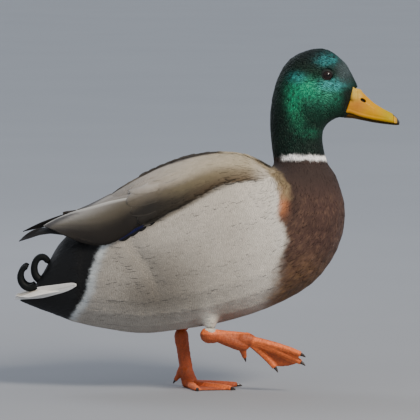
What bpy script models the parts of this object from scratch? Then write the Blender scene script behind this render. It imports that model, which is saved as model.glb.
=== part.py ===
"""Mallard drake, walking: a life-size still model of a standing bird.

The bird faces +X, its left side is +Y and the floor is z = 0.  Lengths in the
tables below are millimetres, and mm() turns them into metres.

The flesh and coat from the bill to the tail are one loft through named
stations, each a flat ring between a point on the back and a point on the
underside.  It is parted with thin cuts into head, neck, breast, trunk,
hindquarters and tail coverts.  The folded wings are pads laid over that loft,
and the legs are tapered tubes.
"""

import math

import bmesh
import bpy
from mathutils import Vector
from mathutils.bvhtree import BVHTree

COLLECTION = "mallard_drake"
GAP = 0.3                 # between pieces that touch
SEGMENTS = 22             # round the body
STEPS = 3                 # rings from one station to the next

# Station: back x, z, underside x, z, half width, fullness low down, squareness.
STATIONS = {
    "bill_base":   (154.9, 318.2, 145.4, 291.5, 10.5, 0.10, 2.0),
    "forehead":    (146.6, 342.4, 138.5, 285.8, 16.5, 0.18, 2.0),
    "crown":       (121.5, 359.2, 131.0, 282.0, 20.8, 0.22, 2.0),
    "hind_crown":  (88.0, 348.6, 126.5, 278.0, 22.6, 0.18, 2.0),
    "nape":        (71.4, 320.3, 123.4, 273.0, 22.4, 0.10, 2.0),
    "mid_neck":    (66.0, 289.0, 122.4, 262.0, 22.0, 0.00, 2.0),
    "low_neck":    (67.0, 261.5, 124.4, 250.0, 22.5, 0.00, 2.0),
    "collar":      (69.3, 243.6, 127.5, 239.5, 24.5, 0.00, 2.0),
    "neck_root":   (68.5, 235.0, 138.0, 222.0, 31.0, -0.05, 2.1),
    "upper_breast": (60.5, 234.0, 145.4, 189.5, 42.0, -0.05, 2.2),
    "breast":      (46.5, 237.0, 139.6, 149.6, 51.0, 0.00, 2.3),
    "low_breast":  (27.8, 239.8, 113.0, 111.6, 57.5, 0.05, 2.4),
    "fore_trunk":  (7.9, 240.5, 68.6, 86.0, 61.0, 0.06, 2.5),
    "mid_trunk":   (-17.3, 236.3, 17.0, 69.3, 61.5, 0.08, 2.5),
    "hind_trunk":  (-45.7, 225.8, -27.8, 61.6, 58.0, 0.08, 2.5),
    "thigh":       (-75.1, 211.0, -67.7, 57.6, 52.0, 0.06, 2.4),
    "vent":        (-103.4, 195.3, -108.7, 63.0, 44.0, 0.02, 2.3),
    "rump":        (-130.6, 175.4, -134.0, 68.6, 33.0, 0.00, 2.2),
    "tail_root":   (-153.7, 154.5, -156.0, 76.8, 23.0, 0.00, 2.1),
    "upper_coverts": (-165.5, 134.4, -174.0, 83.6, 16.0, 0.00, 2.0),
    "covert_tip":  (-177.0, 111.5, -198.0, 92.6, 9.0, 0.00, 2.0),
}
BODY_NODES = {
    "head": ("bill_base", "nape"),
    "neck": ("nape", "collar"),
    "breast": ("collar", "low_breast"),
    "trunk": ("low_breast", "thigh"),
    "hindquarters": ("thigh", "rump"),
    "tail_coverts": ("rump", "covert_tip"),
}

# Bill station: x, z of the ridge, z of the cutting edge, z of the underside, half width.
BILL = (
    (150.4, 310.0, 291.0, 285.8, 9.2),
    (158.9, 315.6, 287.6, 284.1, 9.8),
    (167.2, 308.6, 285.4, 282.4, 9.4),
    (175.5, 301.0, 283.6, 280.8, 9.8),
    (186.3, 294.4, 281.8, 279.3, 11.2),
    (195.0, 289.8, 280.6, 278.4, 11.6),
    (200.0, 285.4, 279.9, 278.0, 9.0),
    (202.4, 281.8, 279.6, 278.2, 4.6),
)
NAIL_FROM = 195.6         # x where the horny nail begins
BILL_ROWS = 15
BILL_SIDES = 9            # over the arch of each mandible
UPPER_ARCH = 0.85         # below 1 the arch is fuller at the sides
LOWER_ARCH = 0.70
LOWER_NARROW = 0.9        # the lower mandible fits inside the upper one
FACE_CLEAR = 0.5          # from the slanted first section to the next one

EYE_PLACE = (125.8, 330.7)
EYE_RADIUS = 6.2
EYE_PROUD = 1.5           # how far the eye stands out of the coat

# Wing station: x, then height and distance from the mid-plane of its upper and lower edges, then thickness.
WING = (
    (71.5, 231.5, 22.0, 224.0, 32.0, 2.0),
    (56.0, 241.0, 11.0, 224.0, 44.0, 5.0),
    (38.0, 248.2, 7.0, 223.0, 47.0, 9.0),
    (15.0, 250.3, 5.0, 219.0, 49.0, 11.0),
    (-15.0, 246.8, 4.0, 203.0, 55.0, 12.0),
    (-45.0, 236.9, 3.0, 187.0, 57.0, 12.0),
    (-75.0, 221.7, 2.0, 171.5, 53.0, 11.0),
    (-100.0, 207.0, 1.5, 157.0, 47.0, 9.0),
    (-118.0, 197.0, 1.2, 154.6, 41.0, 7.0),
    (-136.0, 187.4, 1.2, 159.5, 33.0, 5.0),
    (-154.0, 178.4, 1.2, 166.4, 21.0, 3.5),
    (-170.0, 170.0, 1.2, 160.5, 12.0, 2.6),
    (-198.0, 155.6, 1.4, 153.4, 4.0, 1.4),
)
WING_ROWS = 22
WING_COLUMNS = 8
WING_CLEAR = 0.7          # between a wing and the body under it
WING_LEAST = 1.1          # its thinnest
WING_EDGE_THIN = 0.7      # part of the thickness lost by the lower edge
WING_FULLNESS = 1.15      # above 1 the section is flatter than an ellipse near its lower edge
ROW_CLEAR = 0.01          # from a node's end to the nearest shared row, as a part of the length
COVERTS_START = 0.02
LEFT_TIP_LIFT = 10.0      # the left primaries lie over the right ones
LIFT_FROM = 0.70          # where along the wing that starts
SCAPULARS_END = 0.60      # as parts of the wing's length
PRIMARIES_START = 0.84
SCAPULARS_DEPTH = 0.52    # as a part of the wing's height
SPECULUM = (0.53, 0.80, 0.84)   # start, end, upper edge

# Tail station: x, height of the middle and of the outer edge, half width.
TAIL = (
    (-131.0, 114.5, 108.5, 22.5),
    (-146.0, 112.6, 104.2, 27.0),
    (-160.0, 110.8, 100.6, 30.0),
    (-175.0, 108.4, 98.2, 30.5),
    (-186.0, 104.0, 97.2, 26.5),
    (-195.0, 99.6, 96.2, 17.5),
    (-202.0, 95.8, 95.3, 5.5),
)
TAIL_THICK = 1.8
TAIL_TIP_THIN = 0.4                  # part of the thickness lost by the tip
TAIL_SECTIONS = 9
TAIL_ACROSS = (0.0, 0.35, 0.7, 1.0)  # points across each half, as parts of its width
TAIL_CURVE = 1.3                     # above 1 the fan bends down more towards its edge

# Curled covert: centre x, z, radii across and up, distance from the mid-plane,
# angle where it leaves the rump and angle of its tip.
CURLS = {
    "upper": (-173.3, 127.0, 8.2, 12.2, 4.0, -40.0, -325.0),
    "lower": (-185.2, 119.0, 10.3, 11.6, 11.0, -55.0, -262.0),
}
CURL_RADIUS = 3.0
CURL_TIP_RADIUS = 1.9
CURL_POINTS = 15
CURL_TAPER_FROM = 0.6
CURL_SHAFT = (14.0, 0.0, 4.0)        # from the curl's foot to its shaft's end in the rump

ANKLE = {"left": (-26.6, 19.5, 52.5), "right": (0.8, -37.0, 61.0)}
TOE_BASE = {"left": (-19.4, 14.0, 5.2), "right": (42.0, -36.0, 56.2)}
SHANK_TOP = {"left": (-22.0, 22.0, 92.0), "right": (12.0, -30.0, 105.0)}
SHANK_RADII = (15.0, 10.5, 7.6)
SHANK_END = 6.0                      # above the ankle's centre
# Place between ankle and ball of the foot, and the leg's radius there.
TARSUS = ((0.0, 6.9), (0.12, 6.9), (0.30, 6.8), (0.55, 6.8), (0.80, 7.1), (0.93, 7.1), (1.0, 6.9))
TARSUS_FLAT = 0.74                   # its width as a part of its depth
TOE_RADII = (4.5, 3.9, 2.8)
TOE_POINTS = 5
TOE_HEIGHT = 2.9                     # of the planted toes' middle line
TOE_PLACES = (0.0, 0.35, 0.7, 1.0)   # along a toe, where it bends
TOE_BEND = {"left": (0.5, 0.1, -0.2, -0.8), "right": (0.0, 1.2, 0.8, -2.4)}
TOE_LENGTH = {"inner": 41.0, "middle": 58.0, "outer": 56.0}
TOE_START = {"inner": 0.4, "middle": 1.6, "outer": 1.0}   # staggered, so that no two ends coincide
TOE_SCALE = {"left": 0.90, "right": 1.03}   # the raised toes hang straight, the planted ones bend
TOE_TURN = {                         # degrees out from the middle toe
    "left": {"inner": -42.0, "middle": 0.0, "outer": 37.0},
    "right": {"inner": -25.0, "middle": 0.0, "outer": 9.0},
}
PLANTED_TURN = -33.0                 # the planted foot points in towards the mid-line
RAISED_PITCH = math.radians(22)      # the raised foot points down
RAISED_ROLL = math.radians(62)       # and its outer edge is turned up
WEB_THICK = 1.4
WEB_ROWS = 5
WEB_FROM = 0.06                      # as a part of the toes' length
WEB_LOW = {"left": 1.1, "right": 0.0}   # below the toes' middle lines
WEB_REACH = 0.93
# How far the free edges of the inner and outer webs swell between two toes.
WEB_BULGE = {"left": (0.02, 0.02), "right": (0.10, 0.0)}
WEB_COLUMNS = 4
CLAW_LENGTH = 5.6
CLAW_RADII = (2.1, 1.5, 0.5)
CLAW_DROOP = {"left": 0.9, "right": 2.0}
HIND_TOE = {                         # where it leaves the tarsus, and its tip
    "left": ((-24.5, 16.0, 19.0), (-33.0, 16.5, 7.0)),
    "right": ((37.0, -35.0, 49.5), (40.2, -33.0, 36.0)),
}
HIND_TOE_RADII = (3.5, 3.1, 2.7, 2.1)
HIND_CLAW_LENGTH = 4.2
HIND_CLAW_RADII = (1.6, 1.1, 0.4)

COLOURS = {
    "head": "12382a", "neck": "1c4f38", "breast": "4a3128", "trunk": "b0a89e",
    "hindquarters": "b7b0a6", "tail_coverts": "1f2022", "bill": "d9a92a", "nail": "242019",
    "eye": "1c120c", "scapulars": "b5ada0", "tertials": "6a5b49", "secondaries": "1e2347",
    "primaries": "3a3128", "tail": "dedad0", "curl": "17191c", "thigh": "c9c0b0",
    "leg": "e2632c", "claw": "2c2320",
}


def mm(x, y, z):
    """A point given in millimetres, as a vector in metres."""
    return Vector((x, y, z)) * 0.001


def clear_scene():
    for obj in list(bpy.data.objects):
        bpy.data.objects.remove(obj, do_unlink=True)


def collection(name):
    found = bpy.data.collections.new(name)
    bpy.context.scene.collection.children.link(found)
    return found


def linear(hex_colour):
    """An sRGB hex colour as linear red, green, blue and alpha."""
    values = [int(hex_colour[i:i + 2], 16) / 255 for i in (0, 2, 4)]
    return [v / 12.92 if v <= 0.04045 else ((v + 0.055) / 1.055) ** 2.4 for v in values] + [1.0]


def material(name, roughness=0.6):
    found = bpy.data.materials.get(name)
    if found is None:
        found = bpy.data.materials.new(name)
        found.use_nodes = True
        shader = found.node_tree.nodes["Principled BSDF"]
        shader.inputs["Base Color"].default_value = linear(COLOURS[name])
        shader.inputs["Roughness"].default_value = roughness
        shader.inputs["Metallic"].default_value = 0.0
    return found


def add_object(name, mesh, home, finish=None):
    obj = bpy.data.objects.new(name, mesh)
    home.objects.link(obj)
    if finish is not None:
        obj.data.materials.clear()
        obj.data.materials.append(finish)
        obj.data.shade_smooth()
    return obj


def loft(name, rings, home, finish=None):
    """A closed skin through rings of points, all with the same count, capped at both ends."""
    mesh = bpy.data.meshes.new(name)
    form = bmesh.new()
    rows = [[form.verts.new(point) for point in ring] for ring in rings]
    count = len(rings[0])
    for first, second in zip(rows, rows[1:]):
        for i in range(count):
            j = (i + 1) % count
            form.faces.new((first[i], first[j], second[j], second[i]))
    form.faces.new(rows[0])
    form.faces.new(rows[-1])
    bmesh.ops.recalc_face_normals(form, faces=form.faces)
    # Fixed diagonals keep a grown copy parallel to the piece it clears.
    bmesh.ops.triangulate(form, faces=form.faces, quad_method="FIXED", ngon_method="BEAUTY")
    form.to_mesh(mesh)
    form.free()
    return add_object(name, mesh, home, finish)


def spline(rows, place):
    """A Catmull-Rom curve through rows of numbers, read at a place counted in rows."""
    index = min(int(place), len(rows) - 2)
    t = place - index
    before, here = rows[max(index - 1, 0)], rows[index]
    ahead, after = rows[index + 1], rows[min(index + 2, len(rows) - 1)]
    return [0.5 * (2 * b + (c - a) * t + (2 * a - 5 * b + 4 * c - d) * t * t
                   + (3 * b - a - 3 * c + d) * t ** 3)
            for a, b, c, d in zip(before, here, ahead, after)]


def body_ring(place, segments=SEGMENTS, shift=0.0):
    """One flat ring of the body, moved along its own axis by shift millimetres."""
    back_x, back_z, under_x, under_z, half, low, square = spline(list(STATIONS.values()), place)
    back = mm(back_x, 0, back_z)
    under = mm(under_x, 0, under_z)
    middle = (back + under) / 2
    up = (back - under) / 2
    # The axis runs from the bill to the tail, square to the ring.
    axis = Vector((0, 1, 0)).cross(up).normalized()
    points = []
    for i in range(segments):
        angle = math.tau * i / segments
        c, s = math.cos(angle), math.sin(angle)
        height = math.copysign(abs(c) ** (2 / square), c)
        width = math.copysign(abs(s) ** (2 / square), s) * half * (1 - low * height)
        points.append(middle + up * height + mm(0, width, 0) - axis * shift * 0.001)
    return points


def body_axis_sign():
    """Which way body_ring's shift runs: +1 when a positive shift goes towards the tail."""
    first = body_ring(0.0, shift=0.0)[0]
    moved = body_ring(0.0, shift=1.0)[0]
    return 1.0 if moved.x < first.x else -1.0


def body_rings(first, last, segments=SEGMENTS, steps=STEPS, gap=GAP):
    names = list(STATIONS)
    start, end = names.index(first), names.index(last)
    towards_tail = body_axis_sign()
    rings = []
    for i in range((end - start) * steps + 1):
        shift = 0.0
        if i == 0:
            shift = gap / 2 * towards_tail
        elif i == (end - start) * steps:
            shift = -gap / 2 * towards_tail
        rings.append(body_ring(start + i / steps, segments, shift))
    return rings


def make_body(home):
    return {name: loft(name, body_rings(first, last), home, material(name))
            for name, (first, last) in BODY_NODES.items()}


def body_surface():
    """A fine copy of the whole body for finding places on its surface."""
    rings = body_rings("bill_base", "covert_tip", segments=96, steps=12)
    form = bmesh.new()
    rows = [[form.verts.new(point) for point in ring] for ring in rings]
    for first, second in zip(rows, rows[1:]):
        for i in range(len(first)):
            j = (i + 1) % len(first)
            form.faces.new((first[i], first[j], second[j], second[i]))
    form.faces.new(rows[0])
    form.faces.new(rows[-1])
    bmesh.ops.recalc_face_normals(form, faces=form.faces)
    tree = BVHTree.FromBMesh(form)
    form.free()
    return tree


def as_mesh(obj, home):
    """The evaluated object as a plain mesh object with its caps welded; the source is removed."""
    depsgraph = bpy.context.evaluated_depsgraph_get()
    mesh = bpy.data.meshes.new_from_object(obj.evaluated_get(depsgraph))
    form = bmesh.new()
    form.from_mesh(mesh)
    bmesh.ops.remove_doubles(form, verts=form.verts, dist=1e-6)
    bmesh.ops.recalc_face_normals(form, faces=form.faces)
    form.to_mesh(mesh)
    form.free()
    name = obj.name
    matrix = obj.matrix_world.copy()
    bpy.data.objects.remove(obj, do_unlink=True)
    made = bpy.data.objects.new(name, mesh)
    made.matrix_world = matrix
    home.objects.link(made)
    return made


def boolean(target, other, operation, home):
    """Apply one exact Boolean and keep the result under the target's name."""
    bpy.context.view_layer.update()
    modifier = target.modifiers.new("cut", "BOOLEAN")
    modifier.operation = operation
    modifier.solver = "EXACT"
    modifier.object = other
    bpy.context.view_layer.update()
    return as_mesh(target, home)


def finish_object(obj, finish):
    obj.data.materials.clear()
    obj.data.materials.append(finish)
    obj.data.shade_smooth()
    return obj


def tube(name, points, radii, home, resolution=2):
    """A round tube along points, its radius in millimetres at each, with filled ends, as a welded mesh."""
    curve = bpy.data.curves.new(name, "CURVE")
    curve.dimensions = "3D"
    curve.bevel_depth = 0.001
    curve.bevel_resolution = resolution
    curve.use_fill_caps = True
    line = curve.splines.new("POLY")
    line.points.add(len(points) - 1)
    for spot, point, radius in zip(line.points, points, radii):
        spot.co = (*point, 1.0)
        spot.radius = radius
    obj = bpy.data.objects.new(name, curve)
    home.objects.link(obj)
    bpy.context.view_layer.update()
    return as_mesh(obj, home)


def ball(name, centre, radius, home, rings=6):
    mesh = bpy.data.meshes.new(name)
    form = bmesh.new()
    bmesh.ops.create_uvsphere(form, u_segments=2 * rings, v_segments=rings, radius=radius * 0.001)
    bmesh.ops.translate(form, verts=form.verts, vec=centre)
    form.to_mesh(mesh)
    form.free()
    return add_object(name, mesh, home)


def make_eyes(head, surface, home, cutters):
    x, z = EYE_PLACE
    for side, sign in (("left", 1), ("right", -1)):
        start = mm(x, sign * 60.0, z)
        hit = surface.ray_cast(start, Vector((0, -sign, 0)))[0]
        centre = hit - mm(0, sign * (EYE_RADIUS - EYE_PROUD), 0)
        socket = ball("socket", centre, EYE_RADIUS + GAP, cutters)
        head = boolean(head, socket, "DIFFERENCE", home)
        bpy.data.objects.remove(socket, do_unlink=True)
        finish_object(ball("eye_" + side, centre, EYE_RADIUS, home), material("eye", 0.08))
    return finish_object(head, material("head"))


def bill_section(row, upper):
    """Half of a bill section: an arch over the cutting edge, or the shallow trough under it."""
    x, ridge, edge, under, half = row
    height = (ridge - edge) if upper else (under - edge)
    inset = GAP / 2 if upper else -GAP / 2
    width = half if upper else half * LOWER_NARROW
    arch = []
    for i in range(BILL_SIDES + 1):
        angle = math.pi * i / BILL_SIDES
        rise = math.sin(angle) ** (UPPER_ARCH if upper else LOWER_ARCH)
        arch.append(mm(x, width * math.cos(angle), edge + inset + (height - inset) * rise))
    return arch


def lean(points):
    """Lean the bill's first section back, so that it lies along the face."""
    back_x, back_z, under_x, under_z = STATIONS["bill_base"][:4]
    slope = (back_x - under_x) / (back_z - under_z)
    return [Vector((0.001 * (under_x + GAP * 1.4) + slope * (p.z - 0.001 * under_z), p.y, p.z))
            for p in points]


def make_bill(home, cutters):
    """The bill is lofted whole, then the dark nail is parted from its tip."""
    rows = along(BILL, BILL_ROWS)
    face_reach = max(point.x for point in lean(bill_section(rows[0], True))) + FACE_CLEAR * 0.001
    for name, upper in (("bill_upper", True), ("bill_lower", False)):
        rings = [bill_section(row, upper) for row in rows]
        face = lean(rings[0])
        kept = [ring for ring in rings if ring[0].x > face_reach]
        whole = loft(name, [face] + kept, home)
        if upper:
            nail = add_object("bill_nail", whole.data.copy(), home)
            behind = block("behind", mm(100, -40, 250), mm(NAIL_FROM - GAP / 2, 40, 340), cutters)
            ahead = block("ahead", mm(NAIL_FROM + GAP / 2, -40, 250), mm(230, 40, 340), cutters)
            finish_object(boolean(whole, behind, "INTERSECT", home), material("bill", 0.35))
            finish_object(boolean(nail, ahead, "INTERSECT", home), material("nail", 0.35))
        else:
            finish_object(whole, material("bill", 0.35))


def block(name, low, high, home):
    mesh = bpy.data.meshes.new(name)
    form = bmesh.new()
    bmesh.ops.create_cube(form, size=1.0)
    for vert in form.verts:
        vert.co = Vector([low[i] + (vert.co[i] + 0.5) * (high[i] - low[i]) for i in range(3)])
    form.to_mesh(mesh)
    form.free()
    obj = add_object(name, mesh, home)
    obj.hide_render = True
    obj.display_type = "WIRE"
    return obj


def wing_row(u):
    """The wing's numbers at a part u of its length."""
    xs = [row[0] for row in WING]
    x = xs[0] + u * (xs[-1] - xs[0])
    index = max(i for i in range(len(xs) - 1) if x <= xs[i] + 1e-9)
    return spline(WING, index + (xs[index] - x) / (xs[index] - xs[index + 1]))


def wing_point(u, v, sign, surface):
    """The outer and inner points of the wing at a part u of its length and v of its height."""
    x, top_z, top_y, low_z, low_y, thick = wing_row(u)
    angle = v * math.pi / 2
    rise = min(1.0, max(0.0, (u - LIFT_FROM) / (1 - LIFT_FROM)))
    lift = LEFT_TIP_LIFT * rise * (2 - rise) if sign > 0 else 0.0
    y = top_y + (low_y - top_y) * math.sin(angle)
    z = low_z + (top_z - low_z) * math.cos(angle) ** WING_FULLNESS + lift
    outward = Vector((0, math.sin(angle) * (top_z - low_z), math.cos(angle) * (low_y - top_y))).normalized()
    outer = mm(x, y, z)
    thick *= 1 - WING_EDGE_THIN * v
    inner = outer - outward * thick * 0.001
    inner, direction = lifted(inner, surface, WING_CLEAR)
    reach = (outer - inner).dot(outward)
    if reach < WING_LEAST * 0.001:
        outer = inner + (direction or outward) * WING_LEAST * 0.001
    outer.y *= sign
    inner.y *= sign
    return outer, inner


def lifted(point, surface, clear):
    """Move a point off the body by at least clear millimetres."""
    place, normal, _, _ = surface.find_nearest(point)
    if (point - place).dot(normal) < clear * 0.001:
        return place + normal * clear * 0.001, normal
    return point, None


def wing_patch(name, u_range, v_low, v_high, sign, surface, home, finish):
    """One node of a folded wing: the part of the pad between two heights along a stretch of it."""
    length = WING[0][0] - WING[-1][0]
    inset = GAP / 2 / length
    start, end = u_range[0] + inset, u_range[1] - inset
    # Every node shares the same rows, so that neighbours stay parallel.
    shared = [i / WING_ROWS for i in range(WING_ROWS + 1)]
    shared = [u for u in shared if start + ROW_CLEAR < u < end - ROW_CLEAR]
    rings = []
    for u in [start] + shared + [end]:
        _, top_z, top_y, low_z, low_y, _ = wing_row(u)
        height = math.hypot(top_z - low_z, low_y - top_y)
        edge = GAP / 2 / height
        first = v_low(u) + (edge if v_low(u) > 0 else 0)
        last = v_high(u) - (edge if v_high(u) < 1 else 0)
        columns = max(3, round(WING_COLUMNS * (v_high(0.5) - v_low(0.5))))
        pairs = [wing_point(u, first + (last - first) * j / columns, sign, surface)
                 for j in range(columns + 1)]
        rings.append([outer for outer, _ in pairs] + [inner for _, inner in reversed(pairs)])
    return loft(name, rings, home, finish)


def make_wings(surface, home):
    def nothing(u):
        return 0.0

    def everything(u):
        return 1.0

    def under_scapulars(u):
        return SCAPULARS_DEPTH

    def over_speculum(u):
        return SPECULUM[2]

    for side, sign in (("left", 1), ("right", -1)):
        prefix = "wing_" + side + "_"
        wing_patch(prefix + "scapulars", (0.0, SCAPULARS_END), nothing, under_scapulars,
                   sign, surface, home, material("scapulars"))
        wing_patch(prefix + "coverts", (COVERTS_START, SPECULUM[0]), under_scapulars, everything,
                   sign, surface, home, material("scapulars"))
        wing_patch(prefix + "secondaries", SPECULUM[:2], over_speculum, everything,
                   sign, surface, home, material("secondaries"))
        wing_patch(prefix + "tertials", (SCAPULARS_END, PRIMARIES_START), nothing, under_scapulars,
                   sign, surface, home, material("tertials"))
        wing_patch(prefix + "greater_coverts", SPECULUM[:2], under_scapulars, over_speculum,
                   sign, surface, home, material("tertials"))
        wing_patch(prefix + "primaries", (PRIMARIES_START, 1.0), nothing, everything,
                   sign, surface, home, material("primaries"))


def swollen_body(first, last, cutters):
    """A stretch of the body grown by a little more than the gap, to cut what grows out of it."""
    obj = loft("swollen", body_rings(first, last), cutters)
    for vert, normal in zip(obj.data.vertices, [n.vector.copy() for n in obj.data.vertex_normals]):
        vert.co += normal * 1.5 * GAP * 0.001
    obj.hide_render = True
    obj.display_type = "WIRE"
    return obj


def make_tail(home, cutters):
    """Left and right halves of the tail fan, whose roots lie between the coverts."""
    for side, sign in (("left", 1), ("right", -1)):
        rings = []
        for i in range(TAIL_SECTIONS + 1):
            t = i / TAIL_SECTIONS
            x, middle_z, outer_z, half = spline(TAIL, t * (len(TAIL) - 1))
            thin = TAIL_THICK / 2 * (1 - TAIL_TIP_THIN * t)
            ys = [max(GAP / 2, half * part) for part in TAIL_ACROSS]
            levels = [middle_z - (middle_z - outer_z) * part ** TAIL_CURVE for part in TAIL_ACROSS]
            low = [mm(x, sign * y, z - thin) for y, z in zip(ys, levels)]
            high = [mm(x, sign * y, z + thin) for y, z in zip(ys, levels)]
            rings.append(low + high[::-1])
        tail = loft("tail_" + side, rings, home)
        body = swollen_body("vent", "covert_tip", cutters)
        tail = boolean(tail, body, "DIFFERENCE", home)
        bpy.data.objects.remove(body, do_unlink=True)
        finish_object(tail, material("tail"))


def make_curls(home, cutters):
    for side, sign in (("left", 1), ("right", -1)):
        for name, (x, z, across, up, y, start, end) in CURLS.items():
            points, radii = [], []
            for i in range(CURL_POINTS):
                t = i / (CURL_POINTS - 1)
                angle = math.radians(start + (end - start) * t)
                points.append(mm(x + across * math.cos(angle), sign * y, z + up * math.sin(angle)))
                taper = max(0.0, t - CURL_TAPER_FROM) / (1 - CURL_TAPER_FROM)
                radii.append(CURL_RADIUS + (CURL_TIP_RADIUS - CURL_RADIUS) * taper)
            # The shaft runs forward into the rump.
            points.insert(0, points[0] + mm(*CURL_SHAFT))
            radii.insert(0, CURL_RADIUS)
            curl = tube("curl_" + side + "_" + name, points, radii, home, resolution=1)
            body = swollen_body("vent", "covert_tip", cutters)
            curl = boolean(curl, body, "DIFFERENCE", home)
            bpy.data.objects.remove(body, do_unlink=True)
            finish_object(curl, material("curl"))


def along(rows, count):
    """Rows of numbers evenly spaced by parameter on a smooth curve through a few rows."""
    return [spline(rows, i * (len(rows) - 1) / (count - 1)) for i in range(count)]


def toe_place(line, t):
    """A point at a part t of a toe's length."""
    return Vector(spline(line, t * (len(line) - 1)))


def tarsus_solid(name, side, grow, home):
    """The scaly shank from the ankle joint to the ball of the foot, round at both ends."""
    ankle, base = mm(*ANKLE[side]), mm(*TOE_BASE[side])
    points = [ankle.lerp(base, place) for place, _ in TARSUS]
    radii = [radius + grow for _, radius in TARSUS]
    obj = tube(name, points, radii, home, resolution=1)
    for place, radius in ((points[0], radii[0]), (points[-1], radii[-1])):
        end = ball("joint", place, radius, home, rings=6)
        obj = boolean(obj, end, "UNION", home)
        bpy.data.objects.remove(end, do_unlink=True)
    axis = base - ankle
    for vert in obj.data.vertices:
        axis_y = ankle.y + axis.y * (vert.co - ankle).dot(axis) / axis.length_squared
        vert.co.y = axis_y + (vert.co.y - axis_y) * TARSUS_FLAT
    return obj


def foot_frame(side):
    """Forward, outward and upward directions of a foot."""
    if side == "left":
        turn = math.radians(PLANTED_TURN)
        forward = Vector((math.cos(turn), math.sin(turn), 0))
        return forward, Vector((-forward.y, forward.x, 0)), Vector((0, 0, 1))
    forward = Vector((math.cos(RAISED_PITCH), 0, -math.sin(RAISED_PITCH)))
    upright = Vector((math.sin(RAISED_PITCH), 0, math.cos(RAISED_PITCH)))
    outward = Vector((0, -math.cos(RAISED_ROLL), 0)) + upright * math.sin(RAISED_ROLL)
    return forward, outward, outward.cross(forward)


def toe_line(side, toe):
    """The middle line of a toe from the ball of the foot to the root of its claw."""
    forward, outward, upward = foot_frame(side)
    turn = math.radians(TOE_TURN[side][toe])
    direction = forward * math.cos(turn) + outward * math.sin(turn)
    base = mm(*TOE_BASE[side]) + direction * TOE_START[toe] * 0.001
    length = TOE_LENGTH[toe] * TOE_SCALE[side] * 0.001
    if side == "left":
        base.z = TOE_HEIGHT * 0.001
    return [base + direction * length * place + upward * bend * 0.001
            for place, bend in zip(TOE_PLACES, TOE_BEND[side])]


def make_foot(side, home, cutters):
    """Three toes joined by their webs, cut to the ball of the foot and flat where they press the floor."""
    foot = None
    lines = {toe: toe_line(side, toe) for toe in TOE_LENGTH}
    upward = foot_frame(side)[2]
    for toe, line in lines.items():
        points = along(line, TOE_POINTS)
        radii = [row[0] for row in along([(radius,) for radius in TOE_RADII], TOE_POINTS)]
        piece = tube("foot_" + side, points, radii, home, resolution=1)
        if foot is None:
            foot = piece
        else:
            foot = boolean(foot, piece, "UNION", home)
            bpy.data.objects.remove(piece, do_unlink=True)
    half = upward * WEB_THICK / 2 * 0.001
    drop = -upward * WEB_LOW[side] * 0.001
    hub = mm(*TOE_BASE[side])
    pairs = (("inner", "middle"), ("middle", "outer"))
    for (first, second), bulge in zip(pairs, WEB_BULGE[side]):
        rings = []
        for i in range(WEB_ROWS + 1):
            t = WEB_FROM + (WEB_REACH - WEB_FROM) * i / WEB_ROWS
            a, b = toe_place(lines[first], t), toe_place(lines[second], t)
            row = []
            for j in range(WEB_COLUMNS + 1):
                s = j / WEB_COLUMNS
                swell = 1 + bulge * t * t * 4 * s * (1 - s)
                row.append(hub + (a.lerp(b, s) - hub) * swell + drop)
            rings.append([point + half for point in row] + [point - half for point in reversed(row)])
        web = loft("web", rings, home)
        foot = boolean(foot, web, "UNION", home)
        bpy.data.objects.remove(web, do_unlink=True)
    ball_of_foot = tarsus_solid("ball_of_foot", side, GAP, cutters)
    foot = boolean(foot, ball_of_foot, "DIFFERENCE", home)
    bpy.data.objects.remove(ball_of_foot, do_unlink=True)
    return lines, foot


def make_legs(home, cutters):
    floor = block("floor", mm(-300, -200, -50), mm(300, 200, 0), cutters)
    for side in ("left", "right"):
        tarsus = tarsus_solid("tarsus_" + side, side, 0.0, home)
        lines, foot = make_foot(side, home, cutters)
        if side == "left":
            foot = boolean(foot, floor, "DIFFERENCE", home)
            tarsus = boolean(tarsus, floor, "DIFFERENCE", home)
        finish_object(tarsus, material("leg", 0.45))
        finish_object(foot, material("leg", 0.45))
        upward = foot_frame(side)[2]
        for toe, line in lines.items():
            direction = (line[-1] - line[-2]).normalized()
            start = line[-1] + direction * GAP * 0.001
            droop = -upward * CLAW_DROOP[side] * 0.001
            points = [start + direction * CLAW_LENGTH * 0.001 * t + droop * t * t for t in (0.0, 0.5, 1.0)]
            claw = tube("claw_" + side + "_" + toe, points, CLAW_RADII, home, resolution=1)
            finish_object(claw, material("claw", 0.4))
        root, tip = (mm(*place) for place in HIND_TOE[side])
        hind = tube("hind_toe_" + side, along([root, root.lerp(tip, 0.5), tip], len(HIND_TOE_RADII)),
                    HIND_TOE_RADII, home, resolution=1)
        swollen = tarsus_solid("swollen", side, GAP, cutters)
        hind = boolean(hind, swollen, "DIFFERENCE", home)
        bpy.data.objects.remove(swollen, do_unlink=True)
        finish_object(hind, material("leg", 0.45))
        direction = (tip - root).normalized()
        start = tip + direction * GAP * 0.001
        points = [start + direction * HIND_CLAW_LENGTH * 0.001 * t for t in (0.0, 0.5, 1.0)]
        claw = tube("claw_" + side + "_hind", points, HIND_CLAW_RADII, home, resolution=1)
        finish_object(claw, material("claw", 0.4))

        ankle = mm(*ANKLE[side])
        top = mm(*SHANK_TOP[side])
        end = ankle + (top - ankle).normalized() * SHANK_END * 0.001
        shank = tube("shank_" + side, [top, top.lerp(end, 0.5), end], SHANK_RADII, home, resolution=3)
        for cutter in (swollen_body("low_breast", "vent", cutters),
                       tarsus_solid("swollen", side, GAP, cutters)):
            shank = boolean(shank, cutter, "DIFFERENCE", home)
            bpy.data.objects.remove(cutter, do_unlink=True)
        finish_object(shank, material("thigh"))


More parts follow.
